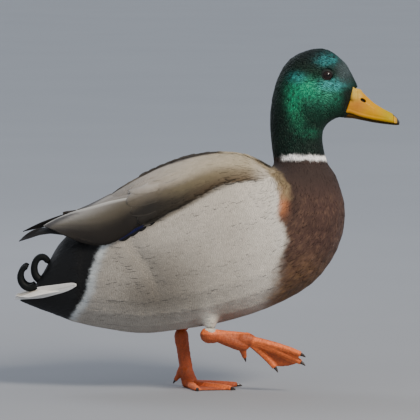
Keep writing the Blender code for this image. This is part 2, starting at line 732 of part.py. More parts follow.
def main():
    clear_scene()
    home = collection(COLLECTION)
    cutters = collection("cutters")
    body = make_body(home)
    surface = body_surface()
    make_eyes(body["head"], surface, home, cutters)
    make_bill(home, cutters)
    make_wings(surface, home)
    make_tail(home, cutters)
    make_curls(home, cutters)
    make_legs(home, cutters)


main()
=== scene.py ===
# %% [markdown]
# # A mallard drake, life size
#
# This lesson builds a drake in mid step, as a museum would mount it: one foot on the floor, one
# foot raised. The solid model of the bird is loaded first. It holds the true size and outline,
# and nothing here moves or resizes it. What follows is the looks: a skin, thousands of feathers,
# the quills of wings and tail, the bill, the eyes, the scaled legs, and light to see them by.
#
# The bird faces +X and its left side is +Y. One unit is a metre, so sizes are given in
# millimetres and multiplied by MM.

# %% The frame
import math

import bmesh
import bpy
import numpy as np
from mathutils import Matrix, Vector
from mathutils.bvhtree import BVHTree
from mathutils.kdtree import KDTree


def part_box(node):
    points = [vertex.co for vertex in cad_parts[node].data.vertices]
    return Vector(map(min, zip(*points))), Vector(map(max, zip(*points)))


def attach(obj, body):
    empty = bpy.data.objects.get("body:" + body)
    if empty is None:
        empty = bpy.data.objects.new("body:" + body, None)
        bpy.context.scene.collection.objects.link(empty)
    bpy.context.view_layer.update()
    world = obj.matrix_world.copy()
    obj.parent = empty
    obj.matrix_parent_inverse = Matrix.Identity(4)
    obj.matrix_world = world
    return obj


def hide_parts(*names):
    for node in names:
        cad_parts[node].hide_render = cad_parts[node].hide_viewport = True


MM = 0.001
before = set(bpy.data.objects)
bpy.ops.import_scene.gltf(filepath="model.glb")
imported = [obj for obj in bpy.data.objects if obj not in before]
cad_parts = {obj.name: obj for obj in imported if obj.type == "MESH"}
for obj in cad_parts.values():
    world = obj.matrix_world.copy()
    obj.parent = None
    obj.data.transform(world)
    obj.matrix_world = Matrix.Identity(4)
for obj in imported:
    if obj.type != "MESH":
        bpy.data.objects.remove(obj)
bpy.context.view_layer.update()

# %% [markdown]
# ## Small tools
#
# Paint charts give colours as sRGB hex values, but light adds up in linear numbers, so one
# function turns the first into the second. One more function adds a node to a tree, sets its
# properties and fills its inputs, either with plain values or with links.

# %% Colour and node helpers
def linear(code):
    """A hex colour such as "#1f7a54" as three linear numbers."""
    parts = [int(code[i : i + 2], 16) / 255 for i in (1, 3, 5)]
    return np.array([p / 12.92 if p <= 0.04045 else ((p + 0.055) / 1.055) ** 2.4 for p in parts])


def opaque(code):
    """The same colour with an alpha of one, as colour sockets want it."""
    return (*linear(code), 1.0)


def add_node(tree, kind, inputs=None, **settings):
    """Adds one node, sets its properties, and fills its inputs with values or with links."""
    made = tree.nodes.new(kind)
    for name, value in settings.items():
        setattr(made, name, value)
    for name, value in (inputs or {}).items():
        socket = made.inputs[name]
        if isinstance(value, bpy.types.NodeSocket):
            tree.links.new(value, socket)
        else:
            socket.default_value = value
    return made


def new_object(name, data):
    """An object in the scene that holds this mesh, lamp or camera."""
    thing = bpy.data.objects.new(name, data)
    bpy.context.scene.collection.objects.link(thing)
    return thing


def new_mesh(name, points, faces):
    made = bpy.data.meshes.new(name)
    made.from_pydata(points, [], faces)
    return made


def new_material(name, **looks):
    """A material, its node tree and its main shader, with some of its inputs set."""
    made = bpy.data.materials.new(name)
    made.use_nodes = True
    shader = made.node_tree.nodes["Principled BSDF"]
    for socket, value in looks.items():
        shader.inputs[socket.replace("_", " ")].default_value = value
    return made, made.node_tree, shader


def maths(tree, operation, *values, clamp=False):
    """The output of one Math node on up to three numbers or sockets."""
    made = add_node(tree, "ShaderNodeMath", dict(enumerate(values)), operation=operation, use_clamp=clamp)
    return made.outputs[0]


def blend_colours(tree, factor, first, second, kind="MIX"):
    """The output of one Mix node on two colours."""
    inputs = {0: factor, 6: first, 7: second}
    made = add_node(tree, "ShaderNodeMix", inputs, data_type="RGBA", blend_type=kind)
    return made.outputs[2]


def brightened(tree, colour, light):
    """A colour times one number."""
    grey = add_node(tree, "ShaderNodeCombineColor", {0: light, 1: light, 2: light}).outputs[0]
    return blend_colours(tree, 1.0, colour, grey, "MULTIPLY")


def step(value, low, high):
    """Rises smoothly from 0 at low to 1 at high."""
    t = np.clip((value - low) / (high - low), 0, 1)
    return t * t * (3 - 2 * t)


def ripple(points, size, seed=0):
    """A smooth, repeatable wander between about -1 and 1, with bumps of the given size."""
    turns = np.array([[1.0, 0.37, -0.61], [-0.53, 1.0, 0.29], [0.41, -0.71, 1.0], [0.83, 0.67, 0.31]])
    phase = points @ turns.T * (2 * np.pi / size) + seed * np.array([1.7, 2.9, 4.3, 0.6])
    return np.sin(phase + 0.8 * np.sin(phase[:, ::-1] * 0.63)).mean(axis=1) * 1.4


def towards(colour, share, other):
    """Colours moved part of the way, by a share at each point, towards another colour."""
    return colour + share[..., None] * (other - colour)


def flecked(points, size, seed, share, dark, pale):
    """A dark colour at each point, with soft flecks that turn a share of the way to a pale one."""
    fleck = 0.5 + 0.5 * ripple(points, size, seed)
    return towards(linear(dark), share * fleck, linear(pale))


# %% [markdown]
# ## Camera
#
# A long lens far from the bird keeps its two sides nearly parallel, as the view through a
# telescope does. A short lens close by would swell the near wing. The lens stands a little above
# the middle of the back and looks down by a few degrees.

# %% Camera
VIEW_DOWN = math.radians(4.5)
VIEW_DISTANCE = 5.0
VIEW_WIDTH = 0.441
SENSOR = 36.0
aim = Vector((0.0037, 0.0, 0.1886))
camera_data = bpy.data.cameras.new("camera")
camera_data.sensor_width = SENSOR
camera_data.lens = SENSOR * VIEW_DISTANCE / VIEW_WIDTH
camera_data.clip_end = 200.0
camera = new_object("camera", camera_data)
towards_camera = Vector((0, -math.cos(VIEW_DOWN), math.sin(VIEW_DOWN)))
camera.location = aim + VIEW_DISTANCE * towards_camera
camera.rotation_euler = (math.pi / 2 - VIEW_DOWN, 0, 0)
bpy.context.scene.camera = camera
print("lens in mm:", round(camera_data.lens, 1))

# %% [markdown]
# ## Floor
#
# A plain matt floor shows the shadow under the planted foot and little else. It is one square so
# large that its edge is never seen. It could curve up into a wall at the back, but paint that
# lightens with the distance, where the lamp does not reach, does the same with less.

# %% Floor
FLOOR_HALF = 60.0
corners = [(x * FLOOR_HALF, y * FLOOR_HALF, 0.0) for x, y in ((-1, -1), (1, -1), (1, 1), (-1, 1))]
floor_mesh = new_mesh("floor", corners, [(0, 1, 2, 3)])
floor = new_object("floor", floor_mesh)
floor_paint, tree, shader = new_material("matt_floor_paint", Roughness=0.8)
place = add_node(tree, "ShaderNodeTexCoord").outputs["Object"]
cloud = add_node(tree, "ShaderNodeTexNoise", {"Vector": place, "Scale": 3.0, "Detail": 2.0}).outputs["Fac"]
near = blend_colours(tree, cloud, opaque("#94979d"), opaque("#9b9ea4"))
far = blend_colours(tree, cloud, opaque("#c9cdd3"), opaque("#d1d5da"))
behind = add_node(tree, "ShaderNodeSeparateXYZ", {0: place}).outputs["Y"]
inputs = {"Value": behind, "From Min": 0.2, "From Max": 3.5}
behind = add_node(tree, "ShaderNodeMapRange", inputs).outputs[0]
shade = blend_colours(tree, behind, near, far)
tree.links.new(shade, shader.inputs["Base Color"])
floor_mesh.materials.append(floor_paint)

# %% [markdown]
# ## Light
#
# Feathers need broad light, as a small lamp turns each barb into a bright speck. One soft lamp
# stands high on the camera's side, a weaker one behind draws the outline, and an even grey sky
# fills the shadows.

# %% Lamps and sky
BIRD_MIDDLE = Vector((0, 0, 0.18))


def lamp(name, place, size, power, tint):
    """A square soft lamp that faces the middle of the bird."""
    data = bpy.data.lights.new(name, "AREA")
    data.size = size
    data.energy = power
    data.color = linear(tint)
    made = new_object(name, data)
    made.location = place
    made.rotation_euler = (BIRD_MIDDLE - Vector(place)).to_track_quat("-Z", "Y").to_euler()


lamp("key_lamp", (1.25, -1.45, 1.75), 0.7, 62.0, "#fff4e4")
lamp("back_lamp", (-1.2, 1.4, 1.6), 1.0, 14.0, "#eef3ff")
SKY_STRENGTH = 0.62
world = bpy.data.worlds.new("soft_sky")
bpy.context.scene.world = world
world.use_nodes = True
sky = world.node_tree.nodes["Background"]
sky.inputs["Color"].default_value = opaque("#dfe5ee")
sky.inputs["Strength"].default_value = SKY_STRENGTH

# %% [markdown]
# ## Reading the solid model
#
# The solids say where everything is. A copy of their meshes, with the loose triangles merged,
# can be turned into a finer surface with a voxel remesh, which also welds neighbours together.
# That is how one skin can replace many nodes with no seam.

# %% Copies of the solids
def solid_mesh(names):
    """One mesh of the named solids, their loose triangles merged, and the solid each face is of."""
    bm = bmesh.new()
    owner = []
    for index, name in enumerate(names):
        part = bmesh.new()
        part.from_mesh(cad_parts[name].data)
        bmesh.ops.remove_doubles(part, verts=part.verts, dist=0.00001)
        mesh = bpy.data.meshes.new("part")
        part.to_mesh(mesh)
        part.free()
        bm.from_mesh(mesh)
        owner += [index] * len(mesh.polygons)
        bpy.data.meshes.remove(mesh)
    made = bpy.data.meshes.new("solids")
    bm.to_mesh(made)
    bm.free()
    return made, np.array(owner)


def triangles(mesh):
    """A mesh's points and its triangles as arrays."""
    points = np.empty(len(mesh.vertices) * 3)
    mesh.vertices.foreach_get("co", points)
    mesh.calc_loop_triangles()
    corners = np.empty(len(mesh.loop_triangles) * 3, int)
    mesh.loop_triangles.foreach_get("vertices", corners)
    return points.reshape(-1, 3), corners.reshape(-1, 3)


SIDES = {"right": -1.0, "left": 1.0}
TOES = ("inner", "middle", "outer")
TRUNK = ["head", "neck", "breast", "trunk", "hindquarters", "tail_coverts", "shank_left", "shank_right"]
WING_GROUPS = ("scapulars", "coverts", "greater_coverts", "secondaries", "tertials", "primaries")
PADS = [f"wing_{s}_{g}" for s in SIDES for g in WING_GROUPS[:5]]
LEGS = [f"{p}_{s}" for s in SIDES for p in ("tarsus", "foot", "hind_toe")]
SOLID_NAMES = np.array(TRUNK + PADS + LEGS)


def search_tree(points, faces):
    return BVHTree.FromPolygons(points.tolist(), faces.tolist())


def surface_tree():
    """A tree of the solids under the skin, and which of them each triangle is of."""
    mesh, owner = solid_mesh(TRUNK + PADS + LEGS)
    points, faces = triangles(mesh)
    bpy.data.meshes.remove(mesh)
    return search_tree(points, faces), owner


SOLID_TREE, SOLID_OF = surface_tree()


def nearest_solid(points):
    """For each point, the index of the solid it is nearest to."""
    return np.array([SOLID_OF[SOLID_TREE.find_nearest(Vector(point))[2]] for point in points])


def evaluated_mesh(thing):
    """The mesh that an object's modifiers make, as plain data."""
    graph = bpy.context.evaluated_depsgraph_get()
    return bpy.data.meshes.new_from_object(
        thing.evaluated_get(graph), preserve_all_data_layers=True, depsgraph=graph
    )


def remeshed(names, voxel, extra=()):
    """The named solids, with any extra closed forms, as one welded, evenly fine mesh."""
    mesh, _ = solid_mesh(names)
    bm = bmesh.new()
    bm.from_mesh(mesh)
    for points, faces in extra:
        form = new_mesh("form", points.tolist(), faces)
        bm.from_mesh(form)
        bpy.data.meshes.remove(form)
    bmesh.ops.recalc_face_normals(bm, faces=bm.faces)
    bm.to_mesh(mesh)
    bm.free()
    thing = new_object("remesh", mesh)
    grid = thing.modifiers.new("grid", "REMESH")
    grid.mode = "VOXEL"
    grid.voxel_size = voxel
    made = evaluated_mesh(thing)
    bpy.data.objects.remove(thing)
    bpy.data.meshes.remove(mesh)
    keep_largest(made)
    return made


def turn_outwards(mesh):
    """Makes every face of a closed mesh look outwards."""
    bm = bmesh.new()
    bm.from_mesh(mesh)
    bmesh.ops.recalc_face_normals(bm, faces=bm.faces)
    bm.to_mesh(mesh)
    bm.free()


def keep_largest(mesh):
    """Leaves only the outer shell where a hollow between two solids made an inner one."""
    bm = bmesh.new()
    bm.from_mesh(mesh)
    waiting = set(bm.verts)
    shells = []
    while waiting:
        shell = [waiting.pop()]
        for vert in shell:
            near = {edge.other_vert(vert) for edge in vert.link_edges} & waiting
            waiting -= near
            shell.extend(near)
        shells.append(shell)
    shells.sort(key=len)
    small = [vert for shell in shells[:-1] if len(shell) < 0.15 * len(shells[-1]) for vert in shell]
    bmesh.ops.delete(bm, geom=small, context="VERTS")
    bm.to_mesh(mesh)
    bm.free()


def edges_of(mesh):
    ends = np.empty(len(mesh.edges) * 2, int)
    mesh.edges.foreach_get("vertices", ends)
    return ends.reshape(-1, 2)


def relaxed(values, edges, rounds):
    """Values on a mesh's points, each drawn halfway to its neighbours' mean a few times."""
    count = len(values)
    degree = np.bincount(edges.ravel(), minlength=count)
    values = np.array(values, float)
    flat = values.reshape(count, -1)
    for _ in range(rounds):
        total = np.zeros_like(flat)
        for column in range(flat.shape[1]):
            total[:, column] = np.bincount(
                edges[:, 0], flat[edges[:, 1], column], count
            ) + np.bincount(edges[:, 1], flat[edges[:, 0], column], count)
        flat += 0.5 * (total / np.maximum(degree, 1)[:, None] - flat)
    return values


def point_normals(mesh):
    values = np.empty(len(mesh.vertices) * 3)
    mesh.vertex_normals.foreach_get("vector", values)
    return values.reshape(-1, 3)


def set_points(mesh, points):
    mesh.vertices.foreach_set("co", points.ravel())
    mesh.update()


def unit(vectors):
    return vectors / np.maximum(np.linalg.norm(vectors, axis=-1, keepdims=True), 1e-12)


# %% [markdown]
# ## One skin
#
# Under the feathers a bird has one unbroken skin, from the bill to the legs. The solids of the
# body, and the pads of the folded wings, are welded into one fine mesh and smoothed. It is then
# drawn in by the coat's depth: half a millimetre on the head, a little over one on the flanks,
# nothing on the bare legs. The legs need a finer mesh for their scales, so they are welded apart
# and joined to the body with a Boolean union.

# %% Round forms
LIMB_RINGS, LIMB_SIDES = 12, 14


def limb(start, end, radii):
    """A round-ended rod between two places, with a radius at each end, as points and faces."""
    start, end = np.array(start) * MM, np.array(end) * MM
    axis = unit(end - start)
    side = unit(np.cross(axis, (0.3, 1.0, 0.2)))
    other = np.cross(axis, side)
    t = np.linspace(0.03, 0.97, LIMB_RINGS)
    cap = np.cos(t * np.pi)
    reach = (start + end) / 2 - cap[:, None] * (end - start) / 2
    radius = (radii[0] + (radii[1] - radii[0]) * (1 - cap) / 2) * MM
    reach = reach - (cap * np.abs(cap) ** 3 * radius)[:, None] * axis
    radius = radius * np.sqrt(1 - cap**8)
    turn = np.linspace(0, 2 * np.pi, LIMB_SIDES, endpoint=False)
    rings = reach[:, None] + radius[:, None, None] * (
        np.cos(turn)[None, :, None] * side + np.sin(turn)[None, :, None] * other
    )
    return ring_band(rings)


def ring_band(rings, closed_along=False):
    """Points and faces between rings of points, capped at the ends unless the band closes."""
    count, around = rings.shape[:2]
    index = np.arange(count * around).reshape(count, around)
    ahead = np.roll(index, -1, axis=0) if closed_along else index[1:]
    here = index if closed_along else index[:-1]
    quads = np.stack([here, np.roll(here, -1, axis=1), np.roll(ahead, -1, axis=1), ahead], -1)
    faces = quads.reshape(-1, 4).tolist()
    if not closed_along:
        faces += [index[0, ::-1].tolist(), index[-1].tolist()]
    return rings.reshape(-1, 3), faces


# %% [markdown]
# ### The body
#
# The welded solids still show where they met, so each point is drawn towards its neighbours a
# few times. Then it moves inwards by the depth of the coat that will lie over it. A fold runs
# down the flank, where the front feathers end over the rear ones, and is pressed in here. It
# could be a stripe of dark paint, but a real hollow keeps its shade from every side.

# %% The body's surface
BODY_VOXEL = 1.8 * MM
LEG_VOXEL = 0.7 * MM
COAT_DEPTH = {
    "head": 0.5, "neck": 0.9, "breast": 1.2, "trunk": 1.2, "hindquarters": 1.1,
    "tail_coverts": 0.3, "shank_left": 1.5, "shank_right": 1.5,
}
WING_DEPTH = 0.9
# The fold between the front flank's feathers and the rear ones, from the wing down: x, z.
FLANK_FOLD = np.array([(-79, 157), (-74, 148), (-62, 136), (-52, 113), (-50, 92)], float)
FOLD_DEPTH, FOLD_HALF = 1.5, 8.5


def fold_share(points):
    """1 along the middle of the flank's fold, falling to 0 at its sides and lower end."""
    flat = points[:, [0, 2]] / MM
    near = np.full(len(flat), 1e3)
    for a, b in zip(FLANK_FOLD[:-1], FLANK_FOLD[1:]):
        t = np.clip((flat - a) @ (b - a) / ((b - a) @ (b - a)), 0, 1)
        near = np.minimum(near, np.linalg.norm(flat - a - t[:, None] * (b - a), axis=1))
    share = np.exp(-((near / FOLD_HALF) ** 2)) * step(np.abs(points[:, 1]) / MM, 15, 30)
    return share * step(points[:, 2] / MM, 88, 125)


# The wedge of feathers that runs out over the bill, and the chin that wraps its lower half.
FACE_FLESH = [
    limb((146.5, 0.0, 331.0), (157.4, 0.0, 317.4), (6.0, 2.2)),
    limb((137.0, 4.6, 293.5), (147.2, 4.8, 290.0), (8.5, 4.2)),
    limb((137.0, -4.6, 293.5), (147.2, -4.8, 290.0), (8.5, 4.2)),
]
body_mesh = remeshed(TRUNK + PADS, BODY_VOXEL, FACE_FLESH)
body_edges = edges_of(body_mesh)
body_points, _ = triangles(body_mesh)
body_points = relaxed(body_points, body_edges, 5)
set_points(body_mesh, body_points)
owner = nearest_solid(body_points)
depth = np.array([COAT_DEPTH.get(name, WING_DEPTH) for name in SOLID_NAMES])[owner] * MM
depth = relaxed(depth, body_edges, 12)
depth += FOLD_DEPTH * MM * fold_share(body_points) * ~np.isin(SOLID_NAMES[owner], PADS)
depth *= step(body_points[:, 0], 147 * MM, 140 * MM)
# The left wing's last pad is slimmer, so that the primaries beyond it carry on its line.
slim = (SOLID_NAMES[owner] == "wing_left_tertials") * step(body_points[:, 0] / MM, -122, -150)
depth += relaxed(slim * 2.6 * MM, body_edges, 6)
body_points -= depth[:, None] * relaxed(point_normals(body_mesh), body_edges, 3)
set_points(body_mesh, relaxed(body_points, body_edges, 2))
print("body points:", len(body_points))

# %% [markdown]
# ### Scaled legs
#
# A duck's shank and toes are covered in horny scales: broad plates in a row down the front and
# over each toe, small round ones at the sides and on the webs. The row of plates is carved into
# the mesh: each plate is a low step along the leg. The round ones come later, as bump.

# %% The legs' surface
def middle(name):
    low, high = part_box(name)
    return np.array((low + high) / 2)


# For each leg: the ankle, the root of the toes, and the ways that the plates on the shank and on
# the toes face.
LEG_BONES = {
    "left": ((-26.6, 19.5, 52.5), (-19.4, 14.0, 5.2), (1.0, 0.0, 0.15), (0.0, 0.0, 1.0)),
    "right": ((0.8, -37.0, 61.0), (42.0, -36.0, 56.2), (0.1, 0.0, 1.0), (0.32, -0.55, 0.75)),
}


def leg_lines(side):
    """The bones that the plates follow: the shank and the three toes, as (start, end, top)."""
    ankle, hub, front, top = (np.array(values) for values in LEG_BONES[side])
    ankle, hub = ankle * MM, hub * MM
    return [(ankle, hub, front)] + [(hub, middle(f"claw_{side}_{toe}"), top) for toe in TOES]


PLATE_PITCH = 2.6 * MM
PLATE_RISE = 0.26 * MM
LEG_GROWTH = 0.30 * MM


def plated(points, normals, side):
    """How far each point of a leg is raised by its row of plates, and how far from its line."""
    rise = np.zeros(len(points))
    best = np.full(len(points), 1.0)
    for start, end, top in leg_lines(side):
        line = end - start
        along = np.clip((points - start) @ line / (line @ line), 0, 1)
        away = np.linalg.norm(points - start - along[:, None] * line, axis=1)
        facing = step(normals @ unit(top), 0.25, 0.75)
        turn = (along * np.linalg.norm(line) / PLATE_PITCH) % 1.0
        plate = PLATE_RISE * (1 - turn) * step(turn, 0.0, 0.18) * facing
        nearer = away < best
        rise = np.where(nearer, plate * step(away, 9 * MM, 6 * MM), rise)
        best = np.where(nearer, away, best)
    return rise, best


# The fleshy parts that the bare solids leave out: the heel joints, the balls of the feet and
# the roots of the hind toes.
LEG_FLESH = [
    limb((2.0, -37.0, 60.4), (8.0, -37.0, 59.6), (8.6, 7.4)),
    limb((13.0, -36.6, 57.5), (37.5, -35.8, 50.6), (5.0, 7.9)),
    limb((37.2, -35.8, 56.0), (45.5, -36.0, 55.0), (7.6, 6.4)),
    limb((37.2, -35.0, 48.0), (38.8, -34.0, 41.5), (4.0, 3.1)),
    limb((-26.6, 19.5, 55.0), (-26.0, 19.1, 46.0), (7.4, 7.0)),
    limb((-21.5, 15.2, 15.0), (-14.5, 12.0, 5.0), (7.8, 5.2)),
    limb((-23.4, 15.6, 22.5), (-28.6, 16.2, 14.0), (4.8, 3.4)),
]
leg_mesh = remeshed(LEGS, LEG_VOXEL, LEG_FLESH)
leg_edges = edges_of(leg_mesh)
leg_points, _ = triangles(leg_mesh)
leg_points = relaxed(leg_points, leg_edges, 3)
set_points(leg_mesh, leg_points)
leg_normals = relaxed(point_normals(leg_mesh), leg_edges, 2)
on_right = leg_points[:, 1] < 0
carved = np.where(
    on_right, plated(leg_points, leg_normals, "right")[0], plated(leg_points, leg_normals, "left")[0]
)
leg_points += leg_normals * (carved + LEG_GROWTH)[:, None]
leg_points += leg_normals * (0.10 * MM * ripple(leg_points, 5 * MM))[:, None]
leg_points[:, 2] = np.maximum(leg_points[:, 2], 0.0)
set_points(leg_mesh, leg_points)
print("leg points:", len(leg_points))

# %% [markdown]
# ### One piece
#
# A second remesh would blur the scales, so the legs are joined to the body with a Boolean union.
# It leaves both surfaces as they are, and cuts away only what lies inside the other.

# %% Body and legs in one
skin = new_object("skin", body_mesh)
legs = new_object("legs", leg_mesh)
weld = skin.modifiers.new("weld", "BOOLEAN")
weld.operation = "UNION"
weld.solver = "EXACT"
weld.object = legs
skin.data = evaluated_mesh(skin)
skin.modifiers.clear()
bpy.data.objects.remove(legs)
skin.data.name = "skin"
skin.data.shade_smooth()
print("skin faces:", len(skin.data.polygons))

# %% [markdown]
# ## The plumage, painted by place
#
# Skin and feathers carry the same markings, so they are worked out once, by a function of the
# place on the bird. Each border is a short line of points seen from the side, in millimetres,
# and the two sides of the bird match. A little wander in the borders keeps them feathery. Each
# marking is laid over the ones before it, as a painter would.

# %% Lines that the coat follows
SPINE = np.array([  # from the bill over the crown and down to the tail, x and z in millimetres
    (150, 305), (142, 318), (126, 326), (108, 318), (97, 298), (95, 276), (97, 256), (99, 242),
    (103, 226), (103, 210), (92, 192), (70, 175), (38, 163), (0, 153), (-37, 144), (-71, 134),
    (-106, 127), (-132, 121), (-155, 114), (-170, 108), (-198, 98),
], float)
BREAST_EDGE = np.array([(84, 58), (113, 72), (145, 78), (159, 83), (175, 81), (183, 75),
                        (203, 79), (216, 77), (230, 67), (246, 47)], float)  # z, x
RUMP_EDGE = np.array([(60, -147), (77, -143), (94, -131), (109, -125), (129, -121),
                      (142, -116), (153, -110.5), (170, -103), (185, -97)], float)  # z, x


def spine_place(points):
    """How far down the spine each point is, from 0 to 1, and the way towards the tail there."""
    flat = points[:, [0, 2]] / MM
    lengths = np.linalg.norm(np.diff(SPINE, axis=0), axis=1)
    starts = np.concatenate([[0], np.cumsum(lengths)])
    best = np.full(len(flat), np.inf)
    along = np.zeros(len(flat))
    for i, (a, b) in enumerate(zip(SPINE[:-1], SPINE[1:])):
        t = np.clip((flat - a) @ (b - a) / lengths[i] ** 2, 0, 1)
        away = np.linalg.norm(flat - a - t[:, None] * (b - a), axis=1)
        along = np.where(away < best, starts[i] + t * lengths[i], along)
        best = np.minimum(best, away)
    steps = np.linspace(0, starts[-1], 120)
    line = np.stack([np.interp(steps, starts, SPINE[:, k]) for k in (0, 1)], axis=1)
    heading = unit(np.gradient(line, axis=0))
    for _ in range(25):
        heading[1:-1] = (heading[:-2] + heading[1:-1] + heading[2:]) / 3
    way = np.stack([np.interp(along, steps, heading[:, k]) for k in (0, 1)], axis=1)
    return along / starts[-1], np.stack([way[:, 0], np.zeros(len(way)), way[:, 1]], axis=1)


def wing_lines(side):
    """The top and the lower edge of a folded wing, as functions of x, read from its solids."""
    points = np.concatenate([solid_points(f"wing_{side}_{g}") for g in WING_GROUPS])
    low, high = points[:, 0].min(), points[:, 0].max()
    places = np.linspace(low + 1 * MM, high - 1 * MM, 70)
    # The lower edge is not modelled just before the longest feathers, so nothing is read there.
    places = places[(places < -155 * MM) | (places > -144 * MM)]
    band = 2.5 * MM
    top = [points[np.abs(points[:, 0] - x) < band, 2].max() for x in places]
    base = [points[np.abs(points[:, 0] - x) < band, 2].min() for x in places]
    return places, np.array(top), np.array(base)


def solid_points(name):
    """Points along every edge of a solid's triangles."""
    points, faces = triangles(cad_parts[name].data)
    start, end = points[faces.ravel()], points[np.roll(faces, 1, axis=1).ravel()]
    return np.concatenate([start + t * (end - start) for t in np.linspace(0, 1, 12)])


WING_LINES = {side: wing_lines(side) for side in SIDES}


def wing_heights(side, x):
    """The heights of a wing's top line and of its lower edge at each x."""
    places, top, base = WING_LINES[side]
    return np.interp(x, places, top), np.interp(x, places, base)


def wing_share(points):
    """How far down the wing each point is: 0 on the wing's top line, 1 on its lower edge."""
    share = np.zeros(len(points))
    for side, sign in SIDES.items():
        high, low = wing_heights(side, points[:, 0])
        here = (high - points[:, 2]) / (high - low)
        share = np.where(points[:, 1] * sign > 0, here, share)
    return share


# %% [markdown]
# The folded wing is pale beige grey above, turning through olive to a dark brown lower edge. Its
# darkening is partly the feathers' own colour and partly painted shade, as the lower wing faces
# down. The turn lies lower at the shoulder and higher over the long feathers.

# %% The wing's tone
WING_STOPS = np.array([-135, -91, -59, -28, 4, 40], float)
TURN_SHARE = (0.33, 0.34, 0.44, 0.56, 0.56, 0.62)
TURN_HALF = (0.26, 0.28, 0.16, 0.22, 0.28, 0.28)
UPPER_TONES = ("#99958d", "#8f887f", "#b3a99c", "#bbb09f", "#b8ac96", "#b9ac92")
MIDDLE_TONES = ("#5f594d", "#5c5342", "#62594b", "#6a6049", "#75694f", "#857760")
LOWER_TONES = ("#2c2620", "#221c15", "#1f1a14", "#2f281d", "#4a3b28", "#6a5a45")


def tone_table(codes, x):
    chart = np.array([linear(code) for code in codes])
    return np.stack([np.interp(x, WING_STOPS, chart[:, k]) for k in range(3)], axis=1)


def wing_tone(points):
    """The wing's colour by place, from how far back and how far down the wing it is."""
    x = points[:, 0] / MM
    share = wing_share(points) + 0.012 * ripple(points, 6 * MM)
    turn = np.interp(x, WING_STOPS, TURN_SHARE)
    half = np.interp(x, WING_STOPS, TURN_HALF)
    upper, olive, lower = (tone_table(c, x) for c in (UPPER_TONES, MIDDLE_TONES, LOWER_TONES))
    first = step(share, turn - half, turn + 0.2 * half)
    last = step(share, turn, turn + 1.3 * half)[:, None]
    tone = towards(upper, first, olive) * (1 - last) + lower * last
    # A dark line runs along the very top of the back, where the two wings meet.
    half = np.interp(x, [-125, -100, -76, -62, -25, 8, 28], [13, 8, 4, 10, 17, 13, 0])
    ridge = step(np.abs(points[:, 1]) / MM, half + 3.5, half - 3.5) * step(x, 30, 12)
    return towards(tone, 0.96 * ridge, linear("#2c251f"))


# %% [markdown]
# ### The markings
#
# The painter starts from the flank's grey and lays one marking after another over it: the black
# rear, the chestnut breast, the white ring, the green head, the wings and the bare legs. An image
# wrapped round the bird could do this, but a rule by place gives the skin and every feather on it
# the same colour, with no seam.

# %% The painter
FLANK, BLACK = "#c6bfb4", "#0b0c0e"


def painter_on(colour):
    """A function that lays more paint over these colours, by a share at each point."""
    def lay(amount, code):
        colour[:] = towards(colour, np.clip(amount, 0, 1), linear(code))

    return lay


def patch(x, z, centre, reach):
    """1 at the centre of an oval patch, falling softly to 0 at its edge."""
    away = np.hypot((x - centre[0]) / reach[0], (z - centre[1]) / reach[1])
    return np.exp(-1.1 * away**2.4)


